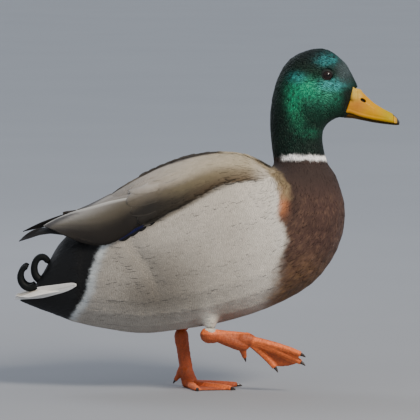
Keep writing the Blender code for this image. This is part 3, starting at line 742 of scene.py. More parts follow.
def plumage(points, owners):
    """The colour at each place, and how strongly fine dark waves cross the feathers there."""
    x, y, z = (points / MM).T
    y = np.abs(y)
    wander = ripple(points, 9 * MM) * 1.6 + ripple(points, 3.4 * MM, 5) * 1.2
    broad = ripple(points, 42 * MM, 3)
    named = SOLID_NAMES[owners]
    colour = np.tile(linear(FLANK), (len(points), 1))
    lay = painter_on(colour)
    waves = np.full(len(points), 0.75)

    # Flank and belly: pale grey with a few darker clouds. Painted light makes them paler and
    # warmer above and at the front; painted shade makes them darker below.
    lay(0.35 * step(broad, 0.0, 1.2), "#b3aba0")
    lay(0.45 * step(z, 110, 70), "#a9a49c")
    lay(0.30 * step(z, 170, 205), "#cfc8bc")
    lay(0.75 * step(x, 20, 62) * step(z, 80, 120), "#e0dad0")
    # Between the shanks and the breast the belly is painted browner and darker, as shade
    # warmed by the breast's reflection. The shanks' own down is whiter.
    lay(0.55 * step(x, 8, 20) * step(x, 90, 66) * step(z, 94, 78), "#7a6350")
    lay(0.95 * patch(x, z, (1.5, 78), (8, 19)) * step(y, 24, 30), "#f4efe2")

    # The back between the wings is dark, finely waved brown.
    on_back = step(y, 17, 9) * step(z + 0.30 * x, 205, 214) * step(x, 66, 50)
    lay(on_back, "#332c25")

    # The flank is painted darker, as shade, behind the fold, in a broad hollow above the legs, in
    # a patch behind that, and in a band close under the wing, where its shadow falls.
    behind_fold = step(x + 0.55 * (z - 112), -46, -60)
    lay(behind_fold * 0.30, "#948c81")
    hollow = np.exp(-(((x - np.interp(z, [90, 118, 145], [-34, -37, -48])) / 40) ** 2))
    lay(hollow * step(z, 70, 102) * step(z, 172, 130) * 0.55, "#4d463c")
    lay(patch(x, z, (-64, 102), (30, 18)) * 0.45, "#5a5349")
    places, _, base = WING_LINES["right"]
    under_wing = z - np.interp(x, places / MM, base / MM)
    lay(step(under_wing, -6, -1.5) * step(x, 36, 14) * step(x, -72, -58) * 0.7, "#4a4234")

    # Rump, upper and under tail coverts: black, edged on the flank with a pale bluish band.
    black_x = np.interp(z, RUMP_EDGE[:, 0], RUMP_EDGE[:, 1]) + wander * 0.7
    lay(step(x, black_x + 12, black_x + 3.5) * step(y, 6, 14) * 0.9, "#cdd4d6")
    waves *= 1 - step(x, black_x + 15, black_x + 3)
    lay(step(x, black_x + 1.2, black_x - 1.2), BLACK)

    # Breast: chestnut, with a rufous edge on the flank and a tan band over the shoulder.
    breast_x = np.interp(z, BREAST_EDGE[:, 0], BREAST_EDGE[:, 1])
    fade = 3.5 + 8 * step(z, 165, 110)
    brown = step(x, breast_x - fade + 1.4 * wander, breast_x + fade + 1.4 * wander)
    lay(brown * step(z, 74, 96), "#46302a")
    waves *= 1 - brown
    mottle = step(ripple(points, 2.4 * MM, 12) + 0.6 * ripple(points, 8 * MM, 4), -0.1, 0.9)
    low = step(z, 74, 96) * step(z, 158, 100)
    lay(brown * low * (0.25 + 0.75 * mottle), "#8a6538")
    fringe = step(ripple(points, 3.1 * MM, 15) + 0.5 * ripple(points, 11 * MM, 6), 0.1, 0.8)
    lay(brown * step(z, 225, 190) * fringe * 0.4, "#8a6a55")
    lay(brown * step(x, breast_x + 34, breast_x + 6) * mottle * 0.45, "#755c46")
    lay(brown * step(broad, -0.2, 1.2) * 0.4, "#33211c")
    lay(brown * step(z, 190, 232) * 0.85, "#332723")
    edge = step(x, breast_x - 17, breast_x - 6) * step(x, breast_x - 0.5, breast_x - 3)
    lay(edge * step(z, 140, 160) * step(z, 216, 206) * 0.55, "#e4e0d8")
    rufous = patch(x, z, (78, 200), (7.5, 14)) * step(x, breast_x - 5, breast_x - 2)
    lay(rufous * (0.8 + 0.2 * mottle), "#bd764c")
    # A dark patch just in front of the rufous edge is painted shadow.
    lay(patch(x, z, (91, 199), (5, 18)) * 0.6, "#2c1d19")
    band = step(np.abs(x - breast_x - 3.5 - wander * 0.7), 9, 3.5) * step(z, 199, 207)
    lay(band * (0.6 + 0.35 * mottle) * step(x, 100, 92), "#92805f")

    # Neck ring: white, arched up at the sides and open at the back.
    ring = 243.0 + 2.6 * np.clip(y / 24, 0, 1) ** 2 + wander * 0.35
    above = step(z, ring, ring + 1.2) * (x > 50)
    head = above * np.isin(named, ("head", "neck", "breast")) * step(x, 60, 66)
    lay(head, "#0e1a16")
    waves *= 1 - head
    white = step(np.abs(z - ring), 3.1, 2.3) * step(x + wander, 76, 82)
    lay(white * np.isin(named, ("neck", "breast", "head")), "#ffffff")
    waves *= 1 - white

    # Head: near black over a green base. The brighter green that flares in flecks on cheek and
    # neck and turns teal at the eye is painted sheen, and so is the bluish cast on the forehead.
    fleck = 0.70 + 0.55 * ripple(points, 1.7 * MM, 9) + 0.38 * ripple(points, 6 * MM, 2)
    dark = head * (1 - white)
    painted_sheen = dark * np.clip(fleck, 0.05, 1.35)
    lay(dark * 0.75 * patch(x, z, (116, 306), (34, 30)), "#1d4d3a")
    lay(painted_sheen * 0.55 * patch(x, z, (92, 262), (26, 20)), "#14382c")
    lay(painted_sheen * 0.80 * patch(x, z, (122, 311), (26, 13)), "#2f9072")
    lay(painted_sheen * 0.95 * patch(x, z, (104, 317), (17, 10)), "#24b586")
    lay(painted_sheen * 0.85 * patch(x, z, (91, 304), (8, 16)), "#22a476")
    lay(painted_sheen * 0.55 * patch(x, z, (95, 285), (8, 12)), "#1f8560")
    lay(painted_sheen * 0.5 * patch(x, z, (107, 271), (12, 6)), "#1f7a5a")
    lay(painted_sheen * 0.90 * patch(x, z, (131, 321), (16, 6.5)), "#45a9ac")
    lay(painted_sheen * 0.75 * patch(x, z, (95, 328), (9, 6)), "#36a3a0")
    lay(painted_sheen * 0.85 * patch(x, z, (126, 347.5), (12, 7)), "#37a2a6")
    lay(dark * 0.8 * patch(x, z, (145, 336), (9, 14)), "#526266")
    lay(dark * 0.6 * patch(x, z, (112, 353), (30, 8)), "#1a2426")
    lay(dark * step(x, 139, 147) * step(z, 322, 312), "#1b2a24")

    # Folded wing, with a dark brown line along its top, and fine waves on its paler half.
    wing = np.char.startswith(named, "wing_")
    share = wing_share(points)
    tone = wing_tone(points)
    for k in range(3):
        colour[:, k] = np.where(wing, tone[:, k], colour[:, k])
    lay(wing * step(x, 40, 66) * 0.8, FLANK)
    lay(wing * band * step(x, 40, 52) * 0.8, "#92805f")
    waves = np.where(wing, 0.8 * (1 - step(share, 0.5, 0.9)), waves)
    waves = np.maximum(waves, 0.4 * band)

    # Bare legs: orange, mottled redder, and painted brighter on the near leg, as light.
    # The webs and the undersides are painted darker, as shade, further on.
    bare = np.isin(named, LEGS)
    lay(bare, "#f0702f")
    lay(bare * (points[:, 1] < 0), "#ff8040")
    lay(bare * step(ripple(points, 7 * MM, 7), 0.0, 1.3) * 0.3, "#dd5a26")
    waves *= 1 - bare
    return np.clip(colour, 0, 1), np.clip(waves, 0, 1)


# %% [markdown]
# ### Colours on the skin
#
# The painter runs once over the points of the skin. Its answers are stored there as attributes,
# where the materials and the coat can read them. The legs get a few more touches first, as they
# need to know which way the skin faces and how far the nearest toe is: painted shade on the soles,
# on the webs and on the standing leg.

# %% Colours on the skin
def give_colour(mesh, name, colours):
    layer = mesh.attributes.new(name, "FLOAT_COLOR", "POINT")
    layer.data.foreach_set("color", np.column_stack([colours, np.ones(len(colours))]).ravel())


def give_number(mesh, name, values):
    layer = mesh.attributes.new(name, "FLOAT", "POINT")
    layer.data.foreach_set("value", np.asarray(values, np.float32))


def give_vector(mesh, name, values):
    layer = mesh.attributes.new(name, "FLOAT_VECTOR", "POINT")
    layer.data.foreach_set("vector", np.asarray(values, np.float32).ravel())


CUFF_TOP = 62.5 * MM
skin_points, _ = triangles(skin.data)
skin_owner = nearest_solid(skin_points)
# The standing leg is bare right up to the belly.
cuff = (SOLID_NAMES[skin_owner] == "shank_left") & (skin_points[:, 2] < CUFF_TOP)
skin_owner[cuff] = SOLID_NAMES.tolist().index("tarsus_left")
skin_colour, skin_waves = plumage(skin_points, skin_owner)
is_leg = np.isin(SOLID_NAMES[skin_owner], LEGS)
leg_normal = point_normals(skin.data)
# The soles are painted darker, as shade, where they face down and where they touch the floor.
sole = step(-(leg_normal @ unit(np.array(LEG_BONES["right"][3]))), 0.2, 0.8) * (skin_points[:, 1] < 0)
sole = sole * step(skin_points[:, 0], 34 * MM, 44 * MM)
sole = np.maximum(sole, step(skin_points[:, 2], 1.2 * MM, 0.2 * MM))
# Painted shade: the webs between the toes are darker than the toes, and the standing leg is
# darker, as it is in the body's shade.
from_bone = np.minimum(*(plated(skin_points, leg_normal, side)[1] for side in SIDES))
webbed = step(from_bone, 3.6 * MM, 6.0 * MM) * (skin_points[:, 2] < 62 * MM)
shaded = (skin_points[:, 1] > 0) * (0.5 + 0.1 * step(skin_points[:, 2], 6 * MM, 16 * MM))
darker = np.maximum(np.maximum(0.85 * sole, 0.62 * webbed), shaded)
skin_colour = towards(skin_colour, is_leg * darker, linear("#7c3216"))
give_colour(skin.data, "shade", skin_colour)
give_number(skin.data, "waves", skin_waves)
give_number(skin.data, "bare", is_leg)
print("bare share of the skin:", round(float(is_leg.mean()), 2))

# %% [markdown]
# ## Materials
#
# Feathers are keratin, like horn: a rough, slightly silky surface with a soft sheen where light
# grazes the barbs. Their colour comes from the painted attribute. Two things are added along
# each vane, from its own map: barbs that slant back from the shaft and, on the flanks, fine
# dark waves. Real waves lie about 0.8 mm apart. They are drawn at 1.7 mm, as
# finer ones would not show at this size.

# %% Feather material
WAVE_PITCH = 1.7 * MM
WAVE_TONE = "#4f4840"


def add_bump(tree, shader, height, strength, distance, **more):
    """Lets a height roughen the look of a surface, without moving it."""
    inputs = {"Strength": strength, "Distance": distance, "Height": height, **more}
    bump = add_node(tree, "ShaderNodeBump", inputs)
    tree.links.new(bump.outputs["Normal"], shader.inputs["Normal"])


def read_attribute(tree, name, output="Fac"):
    return add_node(tree, "ShaderNodeAttribute", attribute_name=name).outputs[output]


def feather_material(name, roughness, sheen, metallic=0.0, length=16 * MM, soft=0.6, vary=0.14, barbs=26.0):
    """Plumage with barbs, shaft and waves along each vane's own map."""
    made, tree, shader = new_material(
        name, Roughness=roughness, Sheen_Weight=sheen, Sheen_Roughness=0.5, Specular_IOR_Level=0.35
    )
    vane = add_node(tree, "ShaderNodeUVMap", uv_map="vane").outputs["UV"]
    split = add_node(tree, "ShaderNodeSeparateXYZ", {0: vane})
    across = maths(tree, "ABSOLUTE", maths(tree, "SUBTRACT", split.outputs["X"], 0.5))
    slant = maths(tree, "MULTIPLY_ADD", across, -0.55, split.outputs["Y"])
    barb = maths(tree, "SINE", maths(tree, "MULTIPLY", slant, barbs * 2 * math.pi))
    place = add_node(tree, "ShaderNodeTexCoord").outputs["Object"]
    mottle = add_node(tree, "ShaderNodeTexNoise", {"Vector": place, "Scale": 220.0, "Detail": 3.0})
    colour = read_attribute(tree, "shade", "Color")
    tone = read_attribute(tree, "tone")
    light = maths(tree, "MULTIPLY_ADD", tone, vary, 0.97 - vary / 2)
    light = maths(tree, "MULTIPLY_ADD", mottle.outputs["Fac"], 0.16, light)
    light = maths(tree, "MULTIPLY_ADD", barb, 0.035, light)
    light = maths(tree, "SUBTRACT", light, 0.05)
    colour = brightened(tree, colour, light)
    # The waves run across the vane and wander with the place on the bird.
    wander = add_node(tree, "ShaderNodeTexNoise", {"Vector": place, "Scale": 330.0, "Detail": 1.0})
    turn = maths(tree, "MULTIPLY_ADD", split.outputs["Y"], length / WAVE_PITCH, 0.0)
    turn = maths(tree, "MULTIPLY_ADD", wander.outputs["Fac"], 1.5, turn)
    wave = maths(tree, "SINE", maths(tree, "MULTIPLY", turn, 2 * math.pi))
    wave = maths(tree, "MULTIPLY_ADD", wave, 0.9, 0.1, clamp=True)
    wave = maths(tree, "MULTIPLY", wave, read_attribute(tree, "waves"))
    wave = maths(tree, "MULTIPLY", wave, 0.5)
    colour = blend_colours(tree, wave, colour, opaque(WAVE_TONE))
    tree.links.new(colour, shader.inputs["Base Color"])
    # The barbs catch the light as one soft surface, so the vane's own tilt counts for less.
    faced = add_node(tree, "ShaderNodeNewGeometry").outputs["Normal"]
    own = add_node(tree, "ShaderNodeVectorMath", {0: faced, "Scale": 1 - soft}, operation="SCALE")
    even = add_node(
        tree, "ShaderNodeVectorMath", {0: read_attribute(tree, "up", "Vector"), "Scale": soft},
        operation="SCALE",
    )
    both = add_node(tree, "ShaderNodeVectorMath", {0: own.outputs[0], 1: even.outputs[0]}, operation="ADD")
    both = add_node(tree, "ShaderNodeVectorMath", {0: both.outputs[0]}, operation="NORMALIZE")
    add_bump(tree, shader, barb, 0.25, 0.0002, Normal=both.outputs[0])
    if metallic:
        # Dark feathers shimmer; white ones, as in the neck ring, do not.
        pale = add_node(tree, "ShaderNodeRGBToBW", {0: read_attribute(tree, "shade", "Color")}).outputs[0]
        shimmer = maths(tree, "MULTIPLY_ADD", pale, -0.7, metallic + 0.05, clamp=True)
        tree.links.new(shimmer, shader.inputs["Metallic"])
    return made


head_plumage = feather_material("iridescent_head_plumage", 0.45, 0.0, 0.45, 5 * MM, soft=0.35, vary=0.4)
body_plumage = feather_material("body_plumage", 0.8, 0.04, length=13 * MM)
black_plumage = feather_material("glossy_black_plumage", 0.55, 0.0, soft=0.7)
wing_plumage = feather_material("wing_plumage", 0.7, 0.03, length=18 * MM)
quill_plumage = feather_material("quill_plumage", 0.55, 0.0, length=60 * MM, soft=0.0, barbs=95.0)

# %% [markdown]
# ### Skin and leg scales
#
# Where the coat lies, the skin is dull and hardly seen. On the legs it is horny, with a soft
# gloss and small round scales between the carved plates. Both are one material, and an attribute
# that is 1 on bare skin says which is where. The round scales are a cell pattern about a
# millimetre and a half across, given as bump, as a mesh of them would be too heavy.

# %% Skin material
def skin_material(name):
    """The skin: down-covered where the coat lies, horny and scaled on the bare legs."""
    made, tree, shader = new_material(name)
    place = add_node(tree, "ShaderNodeTexCoord").outputs["Object"]
    bare = read_attribute(tree, "bare")
    colour = read_attribute(tree, "shade", "Color")
    mottle = add_node(tree, "ShaderNodeTexNoise", {"Vector": place, "Scale": 260.0, "Detail": 3.0})
    scales = add_node(tree, "ShaderNodeTexVoronoi", {"Vector": place, "Scale": 620.0})
    worn = maths(tree, "MULTIPLY_ADD", mottle.outputs["Fac"], 0.5, 0.72)
    seams = maths(tree, "MULTIPLY_ADD", scales.outputs["Distance"], -0.45, 1.12, clamp=True)
    worn = maths(tree, "MULTIPLY", worn, seams)
    tree.links.new(brightened(tree, colour, worn), shader.inputs["Base Color"])
    height = maths(tree, "MULTIPLY", scales.outputs["Distance"], -1.0)
    height = maths(tree, "MULTIPLY", height, bare)
    add_bump(tree, shader, height, 0.45, 0.0004)
    rough = maths(tree, "MULTIPLY_ADD", bare, -0.27, 0.85)
    tree.links.new(rough, shader.inputs["Roughness"])
    return made


skin.data.materials.clear()
skin.data.materials.append(skin_material("duck_skin_and_leg_scales"))
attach(skin, "root")
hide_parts(*TRUNK, *PADS, *LEGS)

# %% [markdown]
# ## One feather
#
# A contour feather is a thin curved vane. Its outline swells from a narrow root and closes in a
# rounded tip, it is cupped from side to side, and it bends down towards the tip so that it hugs
# the body. Thousands are needed, so each has only a few dozen faces: a grid above, a single
# strip below, closed at both ends. It is built one unit long and is scaled when it is placed.

# %% The vane
def vane_object(name, columns, rows, width, cup, bend):
    """A closed vane along +X, one unit long, with a map of how far across and along it is."""
    points = [(0.0, 0.0, 0.0)]
    marks = [(0.5, 0.0)]
    for i in range(rows):
        t = (i + 0.8) / (rows + 0.35)
        half = width / 2 * math.sin(math.pi * min(t, 0.999) ** 0.62) ** 0.55
        for j in range(columns):
            s = 2 * j / (columns - 1) - 1
            points.append((t, half * s, cup * half * (1 - s * s) - bend * t * t))
            marks.append(((s + 1) / 2, t))
    points.append((1.0, 0.0, -bend))
    marks.append((0.5, 1.0))
    last = len(points) - 1
    faces = [(0, 2 + j, 1 + j) for j in range(columns - 1)] + [(0, 1, columns)]
    faces = [f[::-1] for f in faces]
    for i in range(rows - 1):
        a, b = 1 + i * columns, 1 + (i + 1) * columns
        faces += [(a + j, b + j, b + j + 1, a + j + 1) for j in range(columns - 1)]
        faces += [(a, a + columns - 1, b + columns - 1, b)]
    a = 1 + (rows - 1) * columns
    faces += [(a + j, last, a + j + 1) for j in range(columns - 1)]
    faces += [(a, a + columns - 1, last)]
    mesh = new_mesh(name, points, faces)
    turn_outwards(mesh)
    layer = mesh.uv_layers.new(name="vane")
    for loop in mesh.loops:
        layer.data[loop.index].uv = marks[loop.vertex_index]
    mesh.shade_smooth()
    return new_object(name, mesh)


vanes = {
    "face": vane_object("face_vane", 3, 2, 0.50, 0.22, 0.10),
    "body": vane_object("body_vane", 5, 3, 0.36, 0.10, 0.09),
    "wing": vane_object("wing_vane", 5, 4, 0.42, 0.10, 0.08),
}
for kind, vane in vanes.items():
    print(kind, "vane faces:", len(vane.data.polygons))


# %% [markdown]
# ## Growing the coat
#
# A Geometry Nodes tree sows roots over a patch of skin with an even spacing, stands a vane on
# each, lays it along the coat with its tip lifted a few degrees, and varies its turn, size and
# tone at random from a fixed seed. Because every root is lower than the tip of the feather in
# front, the vanes overlap like tiles. The tree ends by making the instances real.
#
# Each vane also gets a small patch on a map of the skin, at its root's place, so that colours
# can later be baked to a texture without feathers from far places sharing a spot.

# %% The coat's node tree
def add_input(tree, name, kind, value=None):
    socket = tree.interface.new_socket(name, in_out="INPUT", socket_type=kind)
    if value is not None:
        socket.default_value = value
    return socket


BAKE_PATCH = 0.003


def coat_tree():
    tree = bpy.data.node_groups.new("coat_of_feathers", "GeometryNodeTree")
    add_input(tree, "Skin", "NodeSocketGeometry")
    add_input(tree, "Vane", "NodeSocketObject")
    add_input(tree, "Markings", "NodeSocketObject")
    add_input(tree, "Spacing", "NodeSocketFloat", 3 * MM)
    add_input(tree, "Tilt", "NodeSocketFloat", 0.1)
    add_input(tree, "Stray", "NodeSocketFloat", 0.1)
    add_input(tree, "Seed", "NodeSocketInt", 1)
    add_input(tree, "Finish", "NodeSocketMaterial")
    tree.interface.new_socket("Coat", in_out="OUTPUT", socket_type="NodeSocketGeometry")
    given = add_node(tree, "NodeGroupInput").outputs

    def attribute(name, kind="FLOAT"):
        made = add_node(tree, "GeometryNodeInputNamedAttribute", {"Name": name}, data_type=kind)
        return made.outputs["Attribute"]

    def chance(low, high, seed):
        inputs = {2: low, 3: high, 8: seed}
        return add_node(tree, "FunctionNodeRandomValue", inputs, data_type="FLOAT").outputs[1]

    density = maths(tree, "DIVIDE", 1.6, maths(tree, "MULTIPLY", given["Spacing"], given["Spacing"]))
    roots = add_node(
        tree,
        "GeometryNodeDistributePointsOnFaces",
        {"Mesh": given["Skin"], "Distance Min": given["Spacing"], "Density Max": density,
         "Density Factor": attribute("cover"), "Seed": given["Seed"]},
        distribute_method="POISSON",
    )
    aligned = add_node(
        tree,
        "FunctionNodeAxesToRotation",
        {"Primary Axis": attribute("up", "FLOAT_VECTOR"),
         "Secondary Axis": attribute("lie", "FLOAT_VECTOR")},
        primary_axis="Z",
        secondary_axis="X",
    )
    stray = maths(tree, "MULTIPLY", chance(-1.0, 1.0, 11), given["Stray"])
    lift = maths(tree, "MULTIPLY", chance(0.6, 1.4, 12), maths(tree, "MULTIPLY", given["Tilt"], -1.0))
    roll = maths(tree, "MULTIPLY", chance(-0.2, 0.2, 13), given["Stray"])
    turn = add_node(tree, "ShaderNodeCombineXYZ", {0: roll, 1: lift, 2: stray}).outputs[0]
    turn = add_node(tree, "FunctionNodeEulerToRotation", {0: turn}).outputs[0]
    facing = add_node(
        tree, "FunctionNodeRotateRotation", {0: aligned.outputs[0], 1: turn}, rotation_space="LOCAL"
    )
    size = maths(tree, "MULTIPLY", attribute("length"), chance(0.85, 1.15, 14))
    wide = maths(tree, "MULTIPLY", size, chance(0.85, 1.15, 15))
    scale = add_node(tree, "ShaderNodeCombineXYZ", {0: size, 1: wide, 2: size}).outputs[0]
    toned = add_node(
        tree,
        "GeometryNodeStoreNamedAttribute",
        {"Geometry": roots.outputs["Points"], "Name": "tone", "Value": chance(0.0, 1.0, 16)},
        data_type="FLOAT",
        domain="POINT",
    )
    vane = add_node(tree, "GeometryNodeObjectInfo", {"Object": given["Vane"]}).outputs["Geometry"]
    stood = add_node(
        tree,
        "GeometryNodeInstanceOnPoints",
        {"Points": toned.outputs[0], "Instance": vane, "Rotation": facing.outputs[0], "Scale": scale},
    )
    real = add_node(tree, "GeometryNodeRealizeInstances", {0: stood.outputs[0]}).outputs[0]
    # Each part of a vane takes the markings, and the way the skin faces, from the skin below it.
    body = add_node(tree, "GeometryNodeObjectInfo", {"Object": given["Markings"]}).outputs["Geometry"]
    for layer, kind in (("shade", "FLOAT_COLOR"), ("waves", "FLOAT"), ("up", "FLOAT_VECTOR")):
        below = add_node(
            tree,
            "GeometryNodeSampleNearestSurface",
            {"Mesh": body, "Value": attribute(layer, kind)},
            data_type=kind,
        )
        real = add_node(
            tree,
            "GeometryNodeStoreNamedAttribute",
            {"Geometry": real, "Name": layer, "Value": below.outputs["Value"]},
            data_type=kind,
            domain="POINT",
        ).outputs[0]
    local = add_node(tree, "ShaderNodeVectorMath", {0: attribute("vane", "FLOAT_VECTOR"), 1: (0.5, 0.5, 0)},
                     operation="SUBTRACT").outputs[0]
    small = add_node(tree, "ShaderNodeVectorMath", {0: local, "Scale": BAKE_PATCH}, operation="SCALE")
    spot = add_node(
        tree, "ShaderNodeVectorMath", {0: attribute("root_map", "FLOAT_VECTOR"), 1: small.outputs[0]},
        operation="ADD",
    )
    mapped = add_node(
        tree,
        "GeometryNodeStoreNamedAttribute",
        {"Geometry": real, "Name": "OFBake", "Value": spot.outputs[0]},
        data_type="FLOAT2",
        domain="CORNER",
    )
    dressed = add_node(
        tree, "GeometryNodeSetMaterial", {"Geometry": mapped.outputs[0], "Material": given["Finish"]}
    )
    out = add_node(tree, "NodeGroupOutput")
    tree.links.new(dressed.outputs[0], out.inputs[0])
    return tree


COAT = coat_tree()


def set_input(modifier, name, value):
    """Sets a node tree's input by the identifier of its socket."""
    for item in modifier.node_group.interface.items_tree:
        if item.name == name and item.in_out == "INPUT":
            modifier[item.identifier] = value


# %% [markdown]
# ### Patches and pieces
#
# The coat is grown on one patch of skin at a time, so that each piece stays small enough to
# handle and has its own material. A patch carries what the tree reads at each point: the way the
# feathers lie, their length, how freely they grow, and their place on the bake map.

# %% Patches of skin
def skin_patch(name, wanted):
    """The faces of the skin whose points are wanted, with all that the coat's tree reads."""
    bm = bmesh.new()
    bm.from_mesh(skin.data)
    bm.verts.ensure_lookup_table()
    unwanted = [v for v in bm.verts if not wanted[v.index]]
    kept = np.flatnonzero(wanted)
    bmesh.ops.delete(bm, geom=unwanted, context="VERTS")
    mesh = bpy.data.meshes.new(name)
    bm.to_mesh(mesh)
    bm.free()
    mesh.attributes.remove(mesh.attributes["bare"])
    give_vector(mesh, "lie", way[kept])
    give_number(mesh, "length", feather_length[kept])
    give_number(mesh, "cover", cover[kept])
    # The map runs down the spine one way and round it the other.
    angle = np.arctan2(skin_up[kept][:, 1], skin_up[kept][:, 0] * 0.3 + skin_up[kept][:, 2])
    flat = np.column_stack([spine[kept], angle / (2 * np.pi)])
    low, high = flat.min(0), flat.max(0)
    flat = 0.02 + 0.96 * (flat - low) / (high - low)
    give_vector(mesh, "root_map", np.column_stack([flat, np.zeros(len(flat))]))
    mesh.materials.clear()
    return new_object(name, mesh)


def grow(name, patch_object, kind, spacing, tilt, stray, seed, finish):
    """Grows one piece of the coat and leaves it as a plain mesh."""
    modifier = patch_object.modifiers.new("coat", "NODES")
    modifier.node_group = COAT
    for key, value in (("Vane", vanes[kind]), ("Markings", skin), ("Spacing", spacing), ("Tilt", tilt),
                       ("Stray", stray), ("Seed", seed), ("Finish", finish)):
        set_input(modifier, key, value)
    patch_object.update_tag()
    mesh = evaluated_mesh(patch_object)
    patch_object.modifiers.clear()
    bpy.data.objects.remove(patch_object)
    mesh.name = name
    mesh.shade_smooth()
    for extra in ("lie", "length", "cover", "root_map", "bare"):
        if extra in mesh.attributes:
            mesh.attributes.remove(mesh.attributes[extra])
    piece = new_object(name, mesh)
    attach(piece, "root")
    mesh.calc_loop_triangles()
    print(name, "triangles:", len(mesh.loop_triangles))
    return piece


# %% [markdown]
# ## Where the coat grows
#
# The bird is parted into regions by the solid that each point of the skin came from. Feathers
# are smallest on the face, a few millimetres long, and longest on the wing, at a centimetre and
# a half. Each lies the way that the body runs there, from the bill to the tail.

# %% The lie and length of the coat
skin_points, _ = triangles(skin.data)
skin_edges = edges_of(skin.data)
skin_up = unit(relaxed(point_normals(skin.data), skin_edges, 4))
give_vector(skin.data, "up", skin_up)
named = SOLID_NAMES[skin_owner]
spine, way = spine_place(skin_points)
on_wing = np.char.startswith(named, "wing_")
on_top = on_wing | ((skin_points[:, 2] > 196 * MM) & (skin_points[:, 0] < 62 * MM) & (named != "neck"))
way[on_top] = unit(np.array([-1.0, 0.0, -0.30]))
way = way - (way * skin_up).sum(1)[:, None] * skin_up
way = unit(relaxed(unit(way), skin_edges, 14))

LENGTHS = {
    "head": 4.0, "neck": 5.0, "breast": 9.0, "trunk": 12.0, "hindquarters": 13.5,
    "tail_coverts": 13.0, "shank_left": 4.5, "shank_right": 4.5,
}
WING_LENGTH = 15.0
feather_length = np.array([LENGTHS.get(n, WING_LENGTH) for n in SOLID_NAMES])[skin_owner]
feather_length = relaxed(feather_length, skin_edges, 30) * MM
near_face = step(skin_points[:, 0], 128 * MM, 146 * MM) * np.isin(named, ["head"])
feather_length *= 1 - 0.45 * near_face
feather_length *= 1 - 0.5 * step(skin_points[:, 0], -165 * MM, -190 * MM)

# A straight vane stands off where the skin curves away under it, so it is shorter there.
_, skin_faces = triangles(skin.data)
skin_tree = search_tree(skin_points, skin_faces)
STAND_OFF = 0.5 * MM
SHORTEST = 2.5 * MM
for _ in range(2):
    ends = skin_points + way * feather_length[:, None]
    gaps = np.array([skin_tree.find_nearest(Vector(end))[3] for end in ends])
    gaps = relaxed(gaps, skin_edges, 3)
    feather_length *= np.clip(np.sqrt(STAND_OFF / np.maximum(gaps, 1e-6)), 0.3, 1.0)
feather_length = np.maximum(relaxed(feather_length, skin_edges, 4), SHORTEST)

# %% [markdown]
# ### Bare places
#
# No feather grows on the legs, round the ball of the eye, or where another part of the bird
# presses close to the skin. A ray sent straight out from each point finds the last of these:
# where it soon meets skin again, the place is shut and stays bare.

# %% Where nothing grows
CLEAR_REACH = 9 * MM
EYE_BARE, EYE_CLOTHED = 5.6 * MM, 6.6 * MM
LEG_CLEAR = 3.2 * MM
eye_middle = {side: middle(f"eye_{side}") for side in SIDES}
eye_low, eye_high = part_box("eye_right")
EYE_RADIUS = (eye_high.x - eye_low.x) / 2
cover = np.ones(len(skin_points))
for side in SIDES:
    away = np.linalg.norm((skin_points - eye_middle[side])[:, [0, 2]], axis=1)
    here = skin_points[:, 1] * SIDES[side] > 0
    cover *= 1 - here * step(away, EYE_CLOTHED, EYE_BARE)
bare_legs = np.isin(named, LEGS)
cover *= ~bare_legs
leg_tree = KDTree(int(bare_legs.sum()))
for i, point in enumerate(skin_points[bare_legs]):
    leg_tree.insert(point, i)
leg_tree.balance()
for i in np.flatnonzero(np.isin(named, ("shank_left", "shank_right"))):
    cover[i] *= float(leg_tree.find(skin_points[i])[2] > LEG_CLEAR)
# A place that faces other skin close by, as under the wing, is bare too.
shut = np.zeros(len(skin_points))
for i in np.flatnonzero(cover > 0):
    start = Vector(skin_points[i] + 0.6 * MM * skin_up[i])
    if skin_tree.ray_cast(start, Vector(skin_up[i]), CLEAR_REACH)[0] is not None:
        shut[i] = 1.0
cover *= 1 - step(relaxed(shut, skin_edges, 2), 0.2, 0.6)
print("skin that carries the coat:", round(float(cover.mean()), 2))

# %% [markdown]
# ### The regions
#
# Each region names its solids, its side, its kind of vane and how far apart the roots stand. The
# face and neck have the smallest and closest feathers, the wings the largest. The spacing lets
# the vanes overlap well while the whole coat stays under a million triangles.

# %% Regions
PARTED, WHOLE = tuple(SIDES), ("",)
REGIONS = (
    # name, solids, pieces, vane, spacing, tilt, stray, finish, slot
    ("coat_head", ("head",), WHOLE, "face", 0.90, 0.12, 0.25, head_plumage, "head_feathers"),
    ("coat_neck", ("neck",), WHOLE, "face", 1.15, 0.10, 0.25, head_plumage, "head_feathers"),
    ("coat_breast", ("breast",), PARTED, "body", 1.55, 0.06, 0.16, body_plumage, "breast_feathers"),
    ("coat_flank", ("trunk",), PARTED, "body", 1.62, 0.04, 0.16, body_plumage, "body_feathers"),
    ("coat_hind", ("hindquarters",), PARTED, "body", 1.7, 0.04, 0.16, body_plumage, "body_feathers"),
    ("coat_tail_coverts", ("tail_coverts",), WHOLE, "body", 1.7, 0.04, 0.10, black_plumage,
     "rump_feathers"),
    ("coat_shanks", ("shank_left", "shank_right"), WHOLE, "body", 1.3, 0.05, 0.2, body_plumage,
     "body_feathers"),
    ("coat_shoulders", tuple(f"wing_{s}_scapulars" for s in SIDES), WHOLE, "wing", 1.9, 0.04, 0.10,
     wing_plumage, "wing_feathers"),
    ("coat_coverts", tuple(f"wing_{s}_coverts" for s in SIDES), WHOLE, "wing", 1.9, 0.04, 0.10,
     wing_plumage, "wing_feathers"),
)
seed = 0
for name, owners, pieces, kind, spacing, tilt, stray, finish, slot in REGIONS:
    for side in pieces:
        seed += 1
        wanted = np.isin(named, owners)
        if side:
            wanted &= skin_points[:, 1] * SIDES[side] > -1 * MM
        whole_name = f"{name}_{side}" if side else name
        region = skin_patch(whole_name + "_patch", wanted)
        grow(whole_name, region, kind, spacing * MM, tilt, stray, seed, finish)
for vane in vanes.values():
    bpy.data.objects.remove(vane)
skin.data.attributes.remove(skin.data.attributes["up"])

